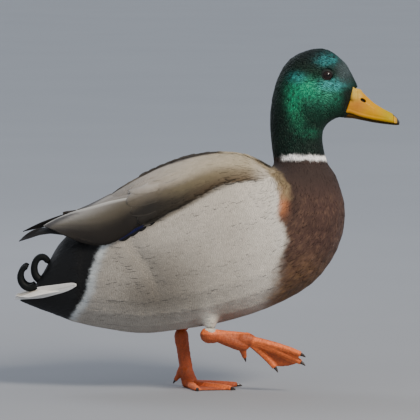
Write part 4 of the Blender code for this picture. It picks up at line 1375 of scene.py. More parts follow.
# %% [markdown]
# ## Quills
#
# The large feathers of the wing and tail are few, and each has its own shape, so they are
# modelled one by one. A quill is a thin blade between two edge lines. A grid of points is spread
# between them, laid on the bird's surface, smoothed, and lifted more towards the tip, so that it
# lies over the next feather's base. A low ridge along the middle is the shaft, and a second grid
# just beneath closes the blade. Copies of one feather would be lighter, but these lie in plain
# sight and no two have the same outline.

# %% Blades
ROWS, COLUMNS = 34, 13
BLADE_THICKNESS = 0.35 * MM


def leaf_edges(root, tip, across, halves, point, bow=0.0, seed=0):
    """The two edges of a plain blade: narrow at the root, full, then closing to a round tip."""
    t = np.linspace(0, 1, ROWS)
    close = np.clip((t - point) / (1 - point), 0, 1)
    wide = (0.42 + 0.58 * step(t, 0.0, 0.34)) * np.sqrt(np.clip(1 - close**2.2, 0, 1))
    wide = wide * (1 + 0.035 * np.sin(t * 61 + seed) * np.sin(t * 23 + 2 * seed))
    centre = root + t[:, None] * (tip - root) + (bow * np.sin(np.pi * t))[:, None] * across
    return [centre + (half * wide)[:, None] * across for half in (-halves[0], halves[1])]


def blade(edges, normals_at, lifts, colours):
    """One blade laid on a surface: points, faces, colours and map, from its two edges.

    Its height over the surface goes from the first to the second of its lifts, and is reached
    at the share of its length given by the third.
    """
    t = np.linspace(0, 1, ROWS)
    s = np.linspace(-1, 1, COLUMNS)
    middle_line, half = (edges[0] + edges[1]) / 2, (edges[1] - edges[0]) / 2
    grid = middle_line[:, None, :] + s[None, :, None] * half[:, None, :]
    laid, up = normals_at(grid.reshape(-1, 3))
    laid, up = laid.reshape(grid.shape), up.reshape(grid.shape)
    for _ in range(4):
        laid[1:-1] = (laid[:-2] + 2 * laid[1:-1] + laid[2:]) / 4
        laid[:, 1:-1] = (laid[:, :-2] + 2 * laid[:, 1:-1] + laid[:, 2:]) / 4
    # The blade is lifted straight off its own surface, on the side that faces outwards.
    faced = np.cross(np.gradient(laid, axis=0), np.gradient(laid, axis=1))
    faced = faced * np.sign((faced * up).sum()) / MM**2
    for _ in range(6):
        faced[1:-1] = (faced[:-2] + 2 * faced[1:-1] + faced[2:]) / 4
        faced[:, 1:-1] = (faced[:, :-2] + 2 * faced[:, 1:-1] + faced[:, 2:]) / 4
    up = unit(faced)
    rise = np.clip(t[:, None] / lifts[2], 0, 1) ** 1.2
    high = lifts[0] + (lifts[1] - lifts[0]) * rise - 0.30 * MM * s[None, :] ** 2
    high = high + 0.22 * MM * np.exp(-((s[None, :] / 0.10) ** 2)) * (1 - t[:, None])
    top = laid + up * high[:, :, None]
    low = top - up * BLADE_THICKNESS
    paint = colours(t[:, None] + 0 * s[None, :], s[None, :] + 0 * t[:, None], top)
    points = np.concatenate([top.reshape(-1, 3), low.reshape(-1, 3)])
    marks = np.stack(np.meshgrid((s + 1) / 2, t), axis=-1).reshape(-1, 2)
    index = np.arange(ROWS * COLUMNS).reshape(ROWS, COLUMNS)
    quads = np.stack([index[:-1, :-1], index[:-1, 1:], index[1:, 1:], index[1:, :-1]], -1).reshape(-1, 4)
    rim = np.concatenate([index[0, :-1], index[:-1, -1], index[-1, :0:-1], index[:0:-1, 0]])
    under = ROWS * COLUMNS
    after = np.roll(rim, -1)
    walls = np.stack([rim, after, after + under, rim + under], -1)
    faces = np.concatenate([quads, quads[:, ::-1] + under, walls[:, ::-1]])
    return points, faces, np.concatenate([paint.reshape(-1, 3)] * 2), np.concatenate([marks] * 2)


def finished(name, mesh, material, replaces=()):
    """A mesh as a piece of the bird, with its material and what it stands in for."""
    mesh.shade_smooth()
    mesh.materials.append(material)
    piece = new_object(name, mesh)
    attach(piece, "root")
    if replaces:
        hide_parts(*replaces)
    print(name, "faces:", len(mesh.polygons))


def joined(name, parts, material, replaces=()):
    """Several closed parts as one piece, each with its own place on the bake map."""
    points, faces, colours, marks, cells = [], [], [], [], []
    start = 0
    grid = math.ceil(math.sqrt(len(parts)))
    for i, (part_points, part_faces, part_colours, part_marks) in enumerate(parts):
        points.append(part_points)
        faces += (part_faces + start).tolist()
        colours.append(part_colours)
        marks.append(part_marks)
        # Upper and lower face get half a cell each.
        half = np.repeat([0.0, 0.5], len(part_points) // 2)
        cell = np.column_stack([part_marks[:, 0] * 0.42 + half + 0.04, part_marks[:, 1] * 0.92 + 0.04])
        cells.append((cell + np.array([i % grid, i // grid])) / grid)
        start += len(part_points)
    mesh = new_mesh(name, np.concatenate(points).tolist(), faces)
    corner = np.empty(len(mesh.loops), int)
    mesh.loops.foreach_get("vertex_index", corner)
    for layer, values in (("vane", marks), ("OFBake", cells)):
        mesh.uv_layers.new(name=layer).data.foreach_set("uv", np.concatenate(values)[corner].ravel())
    give_colour(mesh, "shade", np.clip(np.concatenate(colours), 0, 1))
    give_number(mesh, "tone", np.full(len(mesh.vertices), 0.5))
    turn_outwards(mesh)
    finished(name, mesh, material, replaces)


# %% [markdown]
# ### The folded wing
#
# In a folded wing the scapulars lie on top and the long tertials stream back from under them.
# The wing mirror, a blue band of secondaries, shows below. Each blade is drawn in side view
# first, in shares of the wing's height, and then shifted sideways onto the wing, so that one set
# of rules serves both wings. Behind the pads, where the solids leave a gap, the surface under the
# blades is a smooth dome.

# %% Laying blades on the wing
def wing_cloth(side):
    """The surface under the quills of one wing: the skin there, and the solid of the primaries."""
    points, faces = triangles(skin.data)
    more, more_faces = triangles(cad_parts[f"wing_{side}_primaries"].data)
    all_faces = np.concatenate([faces, more_faces + len(points)])
    return search_tree(np.concatenate([points, more]), all_faces)


END_X = (-200, -195, -185, -173, -164, -156, -143, -125)
END_HALF = (4.2, 5.3, 8.0, 11.0, 14.5, 19.0, 28.0, 39.0)


def wing_end(points, side, narrow=1.0):
    """Places on a smooth dome over a wing's rear end, where its solids leave a gap."""
    x, z = points[:, 0], points[:, 2]
    high, low = wing_heights(side, x)
    share = np.clip((high - z) / (high - low), 0.003, 1)
    wide = np.interp(x / MM, END_X, END_HALF) * narrow * MM
    return np.column_stack([x, SIDES[side] * wide * np.sqrt(share), np.minimum(z, high)])


def lay_on_wing(tree, side):
    """A function that shifts points along Y onto the outer face of a wing, up to its crest."""
    sign = SIDES[side]

    def lay(points):
        laid = np.empty_like(points)
        for i, point in enumerate(points):
            x, z = point[0], point[2]
            place = tree.ray_cast(Vector((x, 2 * MM * sign, 0.4)), Vector((0, 0, -1)))[0]
            if place is None or z < place.z - 0.3 * MM:
                place = tree.ray_cast(Vector((x, sign * 0.2, z)), Vector((0, -sign, 0)))[0]
            if place is None or place.y * sign < 0:
                place = tree.find_nearest(Vector((x, sign * 12 * MM, z)))[0]
                place = Vector((x, place.y, z))
            laid[i] = place
        rear = step(points[:, 0], -126 * MM, -138 * MM)[:, None]
        laid = laid + rear * (wing_end(points, side) - laid)
        return laid, np.tile((0.0, 1.0 * sign, 0.4), (len(points), 1))

    return lay


def wing_spot(side, x, share):
    """A place on the side view of the wing, from x and how far down the wing it is."""
    high, low = wing_heights(side, x * MM)
    return np.array([x * MM, 0.0, high + share * (low - high)])


def two_tone(inner, outer, edge, edge_from=0.86, shaft="#3b332b"):
    """A painter for one blade: body colours for its two vanes, a pale rim and a shaft."""
    inner, outer, edge, shaft = (linear(c) for c in (inner, outer, edge, shaft))

    def paint(t, s, places):
        colour = towards(inner, step(s, -0.35, 0.45), outer)
        rim = np.maximum(step(np.abs(s), edge_from, 1.0), step(t, 0.97, 1.0))
        line = np.exp(-((s / 0.07) ** 2)) * 0.6
        return towards(towards(colour, rim, edge), line, shaft)

    return paint


RIM_WIDTH = 1.8


def wing_painter(rim_share, rim_code="#d6cdbd", darker=0.0, over_only=False):
    """A painter with the wing's tone by place, painted shade included, a rim and a faint shaft."""
    rim_colour, shaft = linear(rim_code), linear("#2c251e")

    def paint(t, s, places):
        colour = wing_tone(places.reshape(-1, 3)).reshape(places.shape)
        middle_line = 1 - step(np.abs(s), 0.1, 0.7)
        colour = colour * (1 - darker * middle_line * step(t, 0.2, 0.6))[..., None]
        wide = np.linalg.norm(places[:, -1] - places[:, 0], axis=-1)[:, None] / MM
        inwards = (1 - (s if over_only else np.abs(s))) / 2 * wide
        rim = np.maximum(step(inwards, RIM_WIDTH, 0.4 * RIM_WIDTH), step(t, 0.965, 1.0)) * rim_share
        line = np.exp(-((s / 0.06) ** 2)) * 0.25
        return towards(towards(colour, rim, rim_colour), line, shaft)

    return paint


plain_wing = wing_painter(0.08)
top_rimmed = wing_painter(0.85, "#cfcbc1", over_only=True)
faint_rimmed = wing_painter(0.35, "#cfc8ba", darker=0.08)
flight = two_tone("#141211", "#0e0d0c", "#2a2826", edge_from=0.90, shaft="#0e0d0c")


def mirror_band(t, s, places):
    """The wing mirror's feathers: nearly black where they are covered, then violet blue."""
    share = wing_share(places.reshape(-1, 3)).reshape(places.shape[:2])
    blue = step(share, 0.93, 0.96) * step(share, 1.03, 0.99)
    colour = towards(linear("#100f10"), blue, linear("#161b5c"))
    return colour * (1 - 0.7 * step(np.abs(s), 0.8, 1.0))[..., None]


def wing_leaf(side, stations):
    """The two edges of a wing blade, from stations: x, and the wing's share at either edge."""
    x, upper, lower = np.array(stations, float).T
    at = np.interp(np.linspace(0, 1, ROWS), np.linspace(0, 1, len(x)), x)
    for _ in range(4):
        at[1:-1] = (at[:-2] + at[1:-1] + at[2:]) / 3
    high, low = wing_heights(side, at * MM)
    return [
        np.column_stack([at * MM, 0 * at, high + np.interp(-at, -x, share) * (low - high)])
        for share in (lower, upper)
    ]


# %% [markdown]
# ### Feathers of the wing
#
# Each blade has its own line in a table, which says where its root and tip lie and how wide it
# is. The two largest tertials have no plain leaf shape, so they are given as stations along the
# wing. The covered feathers below are laid first, so each layer is lifted over the last.

# %% The wing's quills
# The two largest tertials of each wing, as stations: x, upper and lower edge as shares of the
# wing. On the left the tips are tucked under the primaries.
INNER_TERTIAL = {
    "right": ((-50, 0.12, 0.30), (-62, 0.0, 0.46), (-80, 0.0, 0.42), (-101, 0.0, 0.30),
              (-118, 0.0, 0.22), (-128, 0.0, 0.16), (-136, 0.0, 0.04)),
    "left": ((-50, 0.12, 0.30), (-62, 0.02, 0.46), (-80, 0.03, 0.42), (-98, 0.05, 0.32),
             (-110, 0.08, 0.26), (-118, 0.12, 0.20), (-122, 0.15, 0.17)),
}
OUTER_TERTIAL = {
    "right": ((-58, 0.56, 0.76), (-66, 0.43, 0.90), (-76, 0.35, 0.955), (-88, 0.26, 0.98),
              (-101, 0.18, 0.995), (-122, 0.12, 1.0), (-143, 0.02, 1.0), (-154, 0.0, 0.97),
              (-159, 0.0, 0.76), (-164, 0.0, 0.44), (-170, 0.04, 0.10)),
    "left": ((-58, 0.56, 0.76), (-66, 0.43, 0.90), (-76, 0.35, 0.955), (-88, 0.26, 0.98),
             (-101, 0.20, 0.995), (-122, 0.20, 1.0), (-137, 0.28, 1.0), (-148, 0.42, 0.99),
             (-156, 0.5, 0.94), (-162, 0.64, 0.84), (-166, 0.72, 0.78)),
}

# name, root x and share, tip x and share, half widths below and above, where the tip starts,
# lift at root and tip and where it is reached, painter. Listed from the lowest layer to the
# highest. A feather's root lies below the skin, so that it comes out from under the coat.
WING_QUILLS = (
    ("secondaries", -46, 0.74, -64, 1.00, 6.0, 6.0, 0.70, 0.1, 0.7, 1.0, mirror_band),
    ("secondaries", -52, 0.74, -73, 1.02, 6.0, 6.0, 0.70, 0.2, 0.8, 1.0, mirror_band),
    ("secondaries", -58, 0.74, -82, 1.02, 6.0, 6.0, 0.70, 0.3, 0.9, 1.0, mirror_band),
    ("secondaries", -64, 0.74, -91, 1.01, 6.0, 6.0, 0.70, 0.4, 1.0, 1.0, mirror_band),
    ("tertials", INNER_TERTIAL, -0.8, 1.7, 0.3, top_rimmed),
    ("tertials", OUTER_TERTIAL, -0.8, 2.6, 0.22, top_rimmed),
    ("scapulars", -24, 0.80, -72, 0.84, 9.0, 9.0, 0.50, -1.8, 1.9, 0.9, plain_wing),
    ("scapulars", -26, 0.60, -80, 0.62, 10.0, 10.0, 0.45, -1.6, 2.4, 0.9, plain_wing),
    ("scapulars", -24, 0.40, -84, 0.40, 10.5, 10.5, 0.40, -1.4, 2.6, 0.9, plain_wing),
    ("scapulars", -20, 0.22, -82, 0.20, 9.5, 9.5, 0.30, -1.2, 2.4, 0.9, faint_rimmed),
    ("scapulars", -14, 0.10, -72, 0.06, 8.5, 8.0, 0.30, -0.8, 2.4, 0.9, faint_rimmed),
)

for side, sign in SIDES.items():
    lay = lay_on_wing(wing_cloth(side), side)
    made = {}
    for number, (group, *shape, low, high, ramp, painter) in enumerate(WING_QUILLS):
        if len(shape) == 1:
            edges = wing_leaf(side, shape[0][side])
        else:
            root_x, root_v, tip_x, tip_v, below, over, point = shape
            root, tip = wing_spot(side, root_x, root_v), wing_spot(side, tip_x, tip_v)
            heading = unit(tip - root)
            across = np.array([heading[2], 0.0, -heading[0]])
            edges = leaf_edges(root, tip, across, (below * MM, over * MM), point, seed=number)
        part = blade(edges, lay, (low * MM, high * MM, ramp), painter)
        made.setdefault(group, []).append(part)
    for group, parts in made.items():
        slot = "speculum_feathers" if group == "secondaries" else "wing_feathers"
        joined(f"quills_{side}_{group}", parts, quill_plumage)


# %% [markdown]
# ### The wing tips
#
# Only the ends of the longest feathers, the primaries, show past the tertials. Three a side do,
# each a little shorter than the one over it, hung as a narrow roof from the wing's top line.

# %% Primaries
# The longest primary of each wing, as stations: x, upper and lower z. The far wing's tip lies
# higher, over the near one.
PRIMARY = {
    "right": ((-146, 172.0, 163.5), (-164, 171.5, 164.9), (-175, 170.0, 163.0), (-180, 168.6, 161.4),
              (-185, 166.2, 159.5), (-190.6, 162.4, 157.9), (-197, 156.4, 155.8)),
    "left": ((-128, 190.5, 181.0), (-154, 182.8, 174.0), (-164, 179.4, 171.8), (-175, 175.2, 169.4),
             (-185, 170.4, 167.4), (-193, 166.2, 165.6)),
}


def hang(side):
    """The primaries lie in a narrow roof under the tertials."""
    up = (0.0, 1.0 * SIDES[side], 0.4)

    def lay(points):
        laid = wing_end(points, side, 0.8)
        laid[:, 2] = points[:, 2]
        return laid, np.tile(up, (len(points), 1))

    return lay


for side in SIDES:
    parts = []
    x, upper, lower = np.array(PRIMARY[side]).T
    for inner in (2, 1, 0):
        at = np.linspace(x[0], x[-1] + 8.5 * inner, ROWS)
        high, low = np.interp(-at, -x, upper), np.interp(-at, -x, lower)
        close = np.sqrt(np.clip((at - at[-1]) / 16, 0, 1)) if inner else np.ones(ROWS)
        edges = [
            np.column_stack([at, 0 * at, (high + low) / 2 + half * (high - low) / 2 * close]) * MM
            for half in (-1 + 0.1 * inner, 1 - 0.1 * inner)
        ]
        lift = -1.0 * inner * MM
        parts.append(blade(edges, hang(side), (lift, lift, 1.0), flight))
    joined(f"quills_{side}_primaries", parts, quill_plumage, (f"wing_{side}_primaries",))


# %% [markdown]
# ## Tail
#
# The tail is a shallow fan: nine quills on each side, the middle pair on top and each outer one
# beneath its neighbour. The outer ones are white, the inner ones grey brown with white edges.
# The two outermost fold down at the side like eaves, so they are drawn in side view instead.

# %% Tail quills
TAIL_QUILLS = 9
STEEP_QUILLS = 2
tail_white = two_tone("#fbfaf6", "#f6f3ee", "#ffffff", shaft="#d8d2c8")
tail_grey = two_tone("#8b8174", "#c9c2b6", "#efece6", edge_from=0.6, shaft="#5a5046")


def lay_on_tail(side):
    tree = search_tree(*triangles(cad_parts[f"tail_{side}"].data))

    def lay(points):
        laid, up = np.empty_like(points), np.empty_like(points)
        for i, point in enumerate(points):
            place, normal, _, _ = tree.ray_cast(Vector((point[0], point[1], 0.3)), Vector((0, 0, -1)))
            if place is None:
                place, normal, _, _ = tree.find_nearest(Vector((point[0], point[1], 0.11)))
                place = Vector((point[0], point[1], place.z))
            laid[i], up[i] = place, (normal.x * 0.3, normal.y * 0.3, 1.0)
        return laid, unit(up)

    return lay


# The outermost tail feathers fold down at the sides like eaves: x, upper and lower z.
EAVES = ((-136, 113.6, 111.4), (-138.5, 115.2, 109.0), (-147, 113.8, 104.8), (-157, 112.0, 101.6),
         (-172, 109.6, 97.6), (-180, 107.8, 96.8), (-190, 104.0, 95.8), (-198, 99.0, 95.0),
         (-201.8, 95.6, 94.9))


def eaves_edges(inner):
    x, upper, lower = np.array(EAVES).T
    at = np.linspace(x[0], x[-1] + 2.5 * inner, ROWS)
    high, low = np.interp(-at, -x, upper), np.interp(-at, -x, lower) + 1.0 * inner
    return [np.column_stack([at, 0 * at, z]) * MM for z in (low, high)]


def lay_steep(sign, tree):
    """A function that shifts points along Y onto the slope of the eaves, outside the coverts."""
    x, upper, lower = np.array(EAVES).T

    def lay(points):
        laid = points.copy()
        middle_z = np.interp(-points[:, 0] / MM, -x, (upper + lower) / 2)
        out = np.interp(points[:, 0] / MM, [-202, -130], [5.0, 24.0]) + 0.8 * (middle_z - points[:, 2] / MM)
        for i, point in enumerate(points):
            hit = tree.ray_cast(Vector((point[0], sign * 0.2, point[2])), Vector((0, -sign, 0)))[0]
            if hit is not None and hit.y * sign > 0:
                out[i] = max(out[i], hit.y * sign / MM + 0.9)
        laid[:, 1] = sign * np.maximum(out, 1.0) * MM
        return laid, np.tile((-0.15, 0.66 * sign, 0.74), (len(points), 1))

    return lay


for side, sign in SIDES.items():
    flat_lay, steep_lay = lay_on_tail(side), lay_steep(sign, skin_tree)
    parts = []
    for k in range(TAIL_QUILLS - 1, -1, -1):
        share = (k + 0.6) / TAIL_QUILLS
        root = np.array([-118.0 - 6 * share, 19.0 * share * sign, 0.0]) * MM
        tip = np.array([-201.0 + 16.5 * share**2.4, (2.5 + 25.5 * share**0.9) * sign, 0.0]) * MM
        heading = unit(tip - root)
        across = np.array([-heading[1], heading[0], 0.0]) * -sign
        lay, halves = flat_lay, (5.6 * MM, 4.6 * MM)
        edges = leaf_edges(root, tip, across, halves, 0.45, 1.6 * MM * share, k)
        if k >= TAIL_QUILLS - STEEP_QUILLS:
            inner = TAIL_QUILLS - 1 - k
            lay, edges = steep_lay, eaves_edges(inner)
        lift = (0.1 + 0.16 * (TAIL_QUILLS - k)) * MM
        painter = tail_white if k >= 4 else tail_grey
        parts.append(blade(edges, lay, (lift * 0.5, lift, 1.0), painter))
    joined(f"tail_quills_{side}", parts, quill_plumage, (f"tail_{side}",))


# %% [markdown]
# ## Curls
#
# A drake has four black coverts over the tail that curl up and forward into rings. Each is
# swept round an ellipse. Its section is a flattened oval with a groove along the shaft, and
# the barbs make slanting ridges on it. It tapers towards the tip.

# %% Curled coverts
def banded_piece(name, bands, colours, material, replaces=()):
    """A piece made of bands of rings, painted by place."""
    points, faces, start = [], [], 0
    for band_points, band_faces in bands:
        points.append(band_points)
        faces += [[i + start for i in face] for face in band_faces]
        start += len(band_points)
    points = np.concatenate(points)
    mesh = new_mesh(name, points.tolist(), faces)
    give_colour(mesh, "shade", colours(points))
    turn_outwards(mesh)
    finished(name, mesh, material, replaces)


CURLS = {  # centre x and z, reach in x and z, how far from the middle, first and last angle
    "upper": (-173.0, 127.0, 8.2, 12.2, 4.0, -40, -338),
    "lower": (-185.2, 119.0, 10.3, 11.6, 11.0, -55, -262),
}
CURL_STEPS, CURL_SIDES = 96, 18


def curl_band(kind, sign):
    x, z, reach_x, reach_z, out, first, last = CURLS[kind]
    turn = np.radians(np.linspace(first, last, CURL_STEPS))
    centre = np.stack([x + reach_x * np.cos(turn), np.full(CURL_STEPS, out * sign),
                       z + reach_z * np.sin(turn)], axis=1)
    outwards = unit(np.stack([np.cos(turn) / reach_x, 0 * turn, np.sin(turn) / reach_z], axis=1))
    along = np.linspace(0, 1, CURL_STEPS)[:, None]
    angle = np.linspace(0, 2 * np.pi, CURL_SIDES, endpoint=False)[None, :]
    radius = ({"upper": 4.3, "lower": 4.1}[kind] - 1.3 * along) * (1 - 0.8 * step(along, 0.93, 1.0))
    barbs = 0.14 * np.sin(2 * np.pi * (along * 34 + 0.9 * np.abs(np.cos(angle))))
    groove = -0.5 * np.exp(-((np.sin(angle) / 0.22) ** 2)) * (np.cos(angle) > 0)
    depth = radius + barbs + groove
    flat = 0.72 * radius + barbs
    rings = (
        centre[:, None, :]
        + (depth * np.cos(angle))[:, :, None] * outwards[:, None, :]
        + (flat * np.sin(angle))[:, :, None] * np.array([0.0, 1.0, 0.0])
    )
    return ring_band(rings * MM)


def gloss_black(points):
    return flecked(points, 3 * MM, 0, 0.4, BLACK, "#1a2422")


curl_bands = [curl_band(kind, sign) for kind in CURLS for sign in SIDES.values()]
curl_nodes = [f"curl_{side}_{kind}" for kind in CURLS for side in SIDES]

# %% [markdown]
# ### Horn
#
# Bill, claws, lids and eyes have no barbs, and those of the curls are in their mesh. All that is
# left is colours painted by place, a fine grain and some gloss, so one material with a few
# numbers serves them all.

# %% A plain painted material
def horn_material(name, roughness, coat, bump, grain, streak=(1.0, 1.0, 1.0), specular=0.5):
    """Horn or eye: colours painted by place, a fine grain, and a clear gloss over it."""
    made, tree, shader = new_material(
        name, Coat_Weight=coat, Coat_Roughness=0.12, Specular_IOR_Level=specular
    )
    place = add_node(tree, "ShaderNodeTexCoord").outputs["Object"]
    place = add_node(tree, "ShaderNodeMapping", {"Vector": place, "Scale": streak}).outputs[0]
    fine = add_node(tree, "ShaderNodeTexNoise", {"Vector": place, "Scale": grain, "Detail": 4.0})
    light = maths(tree, "MULTIPLY_ADD", fine.outputs["Fac"], 0.30, 0.85)
    colour = brightened(tree, read_attribute(tree, "shade", "Color"), light)
    tree.links.new(colour, shader.inputs["Base Color"])
    rough = maths(tree, "MULTIPLY_ADD", fine.outputs["Fac"], 0.14, roughness - 0.07)
    tree.links.new(rough, shader.inputs["Roughness"])
    add_bump(tree, shader, fine.outputs["Fac"], bump, 0.0003)
    return made


black_vane = horn_material("black_curled_vane", 0.6, 0.0, 0.3, 900.0, specular=0.2)
banded_piece("tail_curls", curl_bands, gloss_black, black_vane, curl_nodes)

# %% [markdown]
# ## Bill
#
# The bill is a thin sheath of horn over bone. It is broad and flat, with a dark hooked nail at
# the tip, a slot of a nostril on each side, and fine combs along the edge to sieve the water.
# The solids give its form. A fine remesh of them is carved by place: the nostrils are pressed
# in, the rim of the upper half is rolled, and the combs are cut as small notches.

# %% Carving the bill
BILL_VOXEL = 0.5 * MM
NOSTRIL = (164.0, 304.3)
NOSTRIL_REACH = (3.6, 1.9)
NOSTRIL_SLOPE = math.radians(-30)
CUTTING_EDGE = np.array([(150, 291), (159, 287.6), (167, 285.4), (175, 283.6), (186, 281.8),
                         (202, 279.6)], float)  # x, z


def nostril_share(points):
    """1 in the middle of a nostril, 0 outside it."""
    x, z = points[:, 0] / MM - NOSTRIL[0], points[:, 2] / MM - NOSTRIL[1]
    along = x * math.cos(NOSTRIL_SLOPE) + z * math.sin(NOSTRIL_SLOPE)
    off = -x * math.sin(NOSTRIL_SLOPE) + z * math.cos(NOSTRIL_SLOPE)
    return 1 - step(np.hypot(along / NOSTRIL_REACH[0], off / NOSTRIL_REACH[1]), 0.45, 1.1)


def above_edge(points):
    edge = np.interp(points[:, 0] / MM, CUTTING_EDGE[:, 0], CUTTING_EDGE[:, 1])
    return points[:, 2] / MM - edge


# %% [markdown]
# ### Horn colours
#
# A drake's bill is yellow with a green cast, darker and browner at its base. It is darker
# towards the cutting edge, partly its own colour and partly painted shade under the rim. The
# nostrils are painted dark inside, as shade, and the nail at the tip is dark. All of it is
# painted by place, like the plumage.

# %% The bill's colours
def bill_colours(points):
    x, z = points[:, 0] / MM, points[:, 2] / MM
    high = above_edge(points)
    colour = np.tile(linear("#cc9200"), (len(points), 1))
    lay = painter_on(colour)
    y = np.abs(points[:, 1]) / MM
    lay(step(x, 174, 158) * 0.7, "#bf8420")
    lay(patch(x, z, (158, 299), (9, 8)) * 0.45, "#b8703c")
    lay(step(x, 168, 156) * step(z, 300, 311) * 0.8, "#cdb050")
    lay(step(x, 174, 192) * 0.75, "#ad9c00")
    # Darker towards the cutting edge: partly the horn's own colour, partly painted shade under the rim.
    lay(step(high, 4.6, 1.6) * step(x, 160, 172) * 0.55, "#a98200")
    lay(step(high, 1.9, 0.5) * 0.9, "#6f5210")
    lay(step(high, 0.6, -0.2), "#3a2a10")
    # The nostril's inside is painted dark, as shade.
    lay(step(nostril_share(points), 0.12, 0.4), "#140c04")
    lay(step(ripple(points, 3 * MM, 2), 0.3, 1.2) * 0.18, "#b98a1e")
    lay((y < 4.6) * step(x, 194.5, 195.6), "#1c1a18")
    return colour


# %% [markdown]
# ### Carving
#
# A piece of horn starts as a fine remesh of its solids. It is smoothed, and then each point
# moves along its normal by a depth that depends on its place. That raises the rim of the bill,
# presses the nostrils in and cuts the comb. Sculpting by hand could do the same, but could not
# be repeated.

# %% Carved horn
def carved_piece(name, nodes, voxel, rounds, carve, colours, material, extra=()):
    """A fine copy of some solids, with any extra forms, carved by place and painted."""
    mesh = remeshed(nodes, voxel, extra)
    edges = edges_of(mesh)
    points, _ = triangles(mesh)
    points = relaxed(points, edges, rounds)
    set_points(mesh, points)
    normals = relaxed(point_normals(mesh), edges, 2)
    points = points + normals * carve(points, normals)[:, None]
    set_points(mesh, points)
    give_colour(mesh, "shade", colours(points))
    mesh.materials.clear()
    finished(name, mesh, material, nodes)


def carve_upper(points, normals):
    high = above_edge(points)
    sideways = step(np.abs(normals[:, 1]), 0.35, 0.7)
    comb = np.sin(points[:, 0] / MM * 2 * np.pi / 1.3)
    notch = 0.12 * np.maximum(comb, 0) * step(high, 2.0, 0.6) * step(points[:, 0] / MM, 156, 160)
    rim = 0.30 * np.exp(-(((high - 2.6) / 0.8) ** 2)) - 0.18 * np.exp(-(((high - 4.4) / 0.9) ** 2))
    tip = step(points[:, 0] / MM, 197, 192)
    pressed = 2.6 * nostril_share(points) * sideways
    lip = 0.22 * (nostril_share(points) * (1 - nostril_share(points)) * 4) * sideways
    return (0.30 + sideways * tip * (rim - notch) - pressed + lip) * MM


def carve_lower(points, normals):
    comb = np.sin(points[:, 0] / MM * 2 * np.pi / 1.3)
    rise = 0.22 - 0.08 * np.maximum(comb, 0) * step(np.abs(normals[:, 1]), 0.4, 0.8)
    return rise * step(points[:, 0] / MM, 201.5, 197) * MM


def plain_rise(points, normals):
    return np.full(len(points), -0.02 * MM)


# %% [markdown]
# ### Sheaths, nail and claws
#
# The bill has an upper and a lower sheath and a hard nail at its tip, and each toe ends in a
# claw. The upper sheath is the most carved. The nail is smooth and darker, and the claws are so
# small that a plain copy with a grain is enough.

# %% Sheaths, nail and claws
NAIL_VOXEL, CLAW_VOXEL = 0.4 * MM, 0.35 * MM
bill_horn = horn_material("bill_horn", 0.5, 0.03, 0.12, 420.0, streak=(0.35, 1.0, 1.0), specular=0.08)
nail_horn = horn_material("dark_nail_horn", 0.36, 0.1, 0.15, 600.0)

# The upper sheath sends a lobe up the forehead on each side of the wedge of feathers.
BILL_LOBES = [limb((153.6, y, 306.0), (152.8, 0.80 * y, 316.2), (4.2, 2.4)) for y in (5.2, -5.2)]
BILL_LOBES.append(limb((152.5, 0.0, 313.2), (160.5, 0.0, 313.0), (4.2, 2.4)))


# Dark brown: partly the lower sheath's own colour, partly painted shade under the upper bill.
def lower_colours(points):
    colour = flecked(points, 2 * MM, 4, 0.5, "#2a1d08", "#5a4410")
    return towards(colour, 0.35 * step(points[:, 0] / MM, 168, 154), linear("#7a5018"))


def nail_colours(points):
    """Black over the middle and round the tip; the bill's own horn on either side of it."""
    x, y = points[:, 0] / MM, np.abs(points[:, 1]) / MM
    colour = flecked(points, 2 * MM, 4, 0.4, "#141210", "#33291e")
    beside = step(y, 4.4, 5.6) * step(x, 200.0, 198.6) * step(points[:, 2] / MM, 280.0, 281.0)
    return towards(colour, beside, linear("#c59400"))


def claw_colours(points):
    return flecked(points, 2 * MM, 6, 0.6, "#241c18", "#4c3a2e")


carved_piece("bill_upper_sheath", ["bill_upper"], BILL_VOXEL, 3, carve_upper, bill_colours, bill_horn,
             BILL_LOBES)
carved_piece("bill_lower_sheath", ["bill_lower"], BILL_VOXEL, 3, carve_lower, lower_colours, bill_horn)
carved_piece("bill_tip_nail", ["bill_nail"], NAIL_VOXEL, 2, plain_rise, nail_colours, nail_horn)
claw_nodes = [f"claw_{side}_{toe}" for side in SIDES for toe in (*TOES, "hind")]
claw_horn = horn_material("claw_horn", 0.4, 0.2, 0.2, 700.0)
carved_piece("claws", claw_nodes, CLAW_VOXEL, 1, plain_rise, claw_colours, claw_horn)

# %% [markdown]
# ## Eyes and lids
#
# The eye is a dark brown ball, set so that only a small cap shows. It could be a plain sphere,
# but as a band of rings round the way it looks, pupil and iris fall on its rings, and the same
# helper serves eyes, lids and curls. The colours go by the angle from the middle of the pupil.

# %% Eyeballs
EYE_STEPS = 48


def eye_axes(side):
    """The way the eye looks, the way forward across it, and the way up across it."""
    looks = unit(np.array([0.20, SIDES[side], 0.06]))
    ahead = unit(np.array([1.0, 0.0, -0.25]) - looks * (looks @ np.array([1.0, 0.0, -0.25])))
    return looks, ahead, np.cross(looks, ahead) * -SIDES[side]


def ball_band(side):
    looks, ahead, up = eye_axes(side)
    polar = np.linspace(0.02, np.pi - 0.02, EYE_STEPS // 2)[:, None, None]
    around = np.linspace(0, 2 * np.pi, EYE_STEPS, endpoint=False)[None, :, None]
    way = np.cos(polar) * looks + np.sin(polar) * (np.cos(around) * ahead + np.sin(around) * up)
    return ring_band(eye_middle[side] + EYE_RADIUS * way)


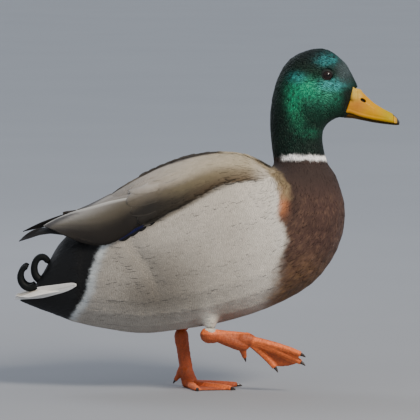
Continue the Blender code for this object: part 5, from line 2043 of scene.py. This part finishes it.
def iris_colours(points):
    colour = np.tile(linear("#0e0806"), (len(points), 1))
    for side in SIDES:
        looks, _, _ = eye_axes(side)
        way = unit(points - eye_middle[side])
        turn = np.degrees(np.arccos(np.clip(way @ looks, -1, 1)))
        here = turn < 60
        iris = here * step(turn, 17, 20) * step(turn, 44, 38)
        colour = towards(colour, iris, linear("#1f0f08"))
        colour = towards(colour, here * step(turn, 20, 16), linear("#050404"))
    return colour


eye_gloss = horn_material("glossy_eye", 0.10, 0.0, 0.0, 900.0, specular=0.45)
banded_piece("eyeballs", [ball_band(side) for side in SIDES], iris_colours, eye_gloss,
             [f"eye_{side}" for side in SIDES])


# %% [markdown]
# ### Lids
#
# The lids are a thin rim of bare dark skin, rolled at the edge, that sinks under the feathers
# further out. The rim is one closed band: a small section swept round an almond opening, a
# little longer than it is high. Its height is taken from the ball, so that no gap opens.

# %% Lids
def lid_band(side):
    looks, ahead, up = eye_axes(side)
    around = np.linspace(0, 2 * np.pi, EYE_STEPS, endpoint=False)
    almond = np.hypot(5.15 * np.cos(around), 4.5 * np.sin(around))
    almond += 0.35 * np.maximum(np.cos(around), 0) ** 6
    # The rim's section: reach from the eye's axis, and height over the eyeball there.
    section = ((0.0, 0.05), (0.05, 0.30), (0.45, 0.62), (1.1, 0.70),
               (1.9, 0.45), (2.3, -0.2), (1.4, -0.9), (0.4, -0.7))
    rings = []
    for angle, reach in zip(around, almond):
        spoke = np.cos(angle) * ahead + np.sin(angle) * up
        ring = []
        for more, over in section:
            wide = (reach + more) * MM
            rise = math.sqrt(max(EYE_RADIUS**2 - min(wide, 0.96 * EYE_RADIUS) ** 2, 0)) + over * MM
            ring.append(eye_middle[side] + spoke * wide + looks * rise)
        rings.append(ring)
    return ring_band(np.array(rings), closed_along=True)


def lid_colours(points):
    return flecked(points, 1.5 * MM, 8, 0.5, "#0f1512", "#26352e")


lid_skin = horn_material("bare_eyelid_skin", 0.55, 0.0, 0.4, 1400.0)
banded_piece("eyelids", [lid_band(side) for side in SIDES], lid_colours, lid_skin)
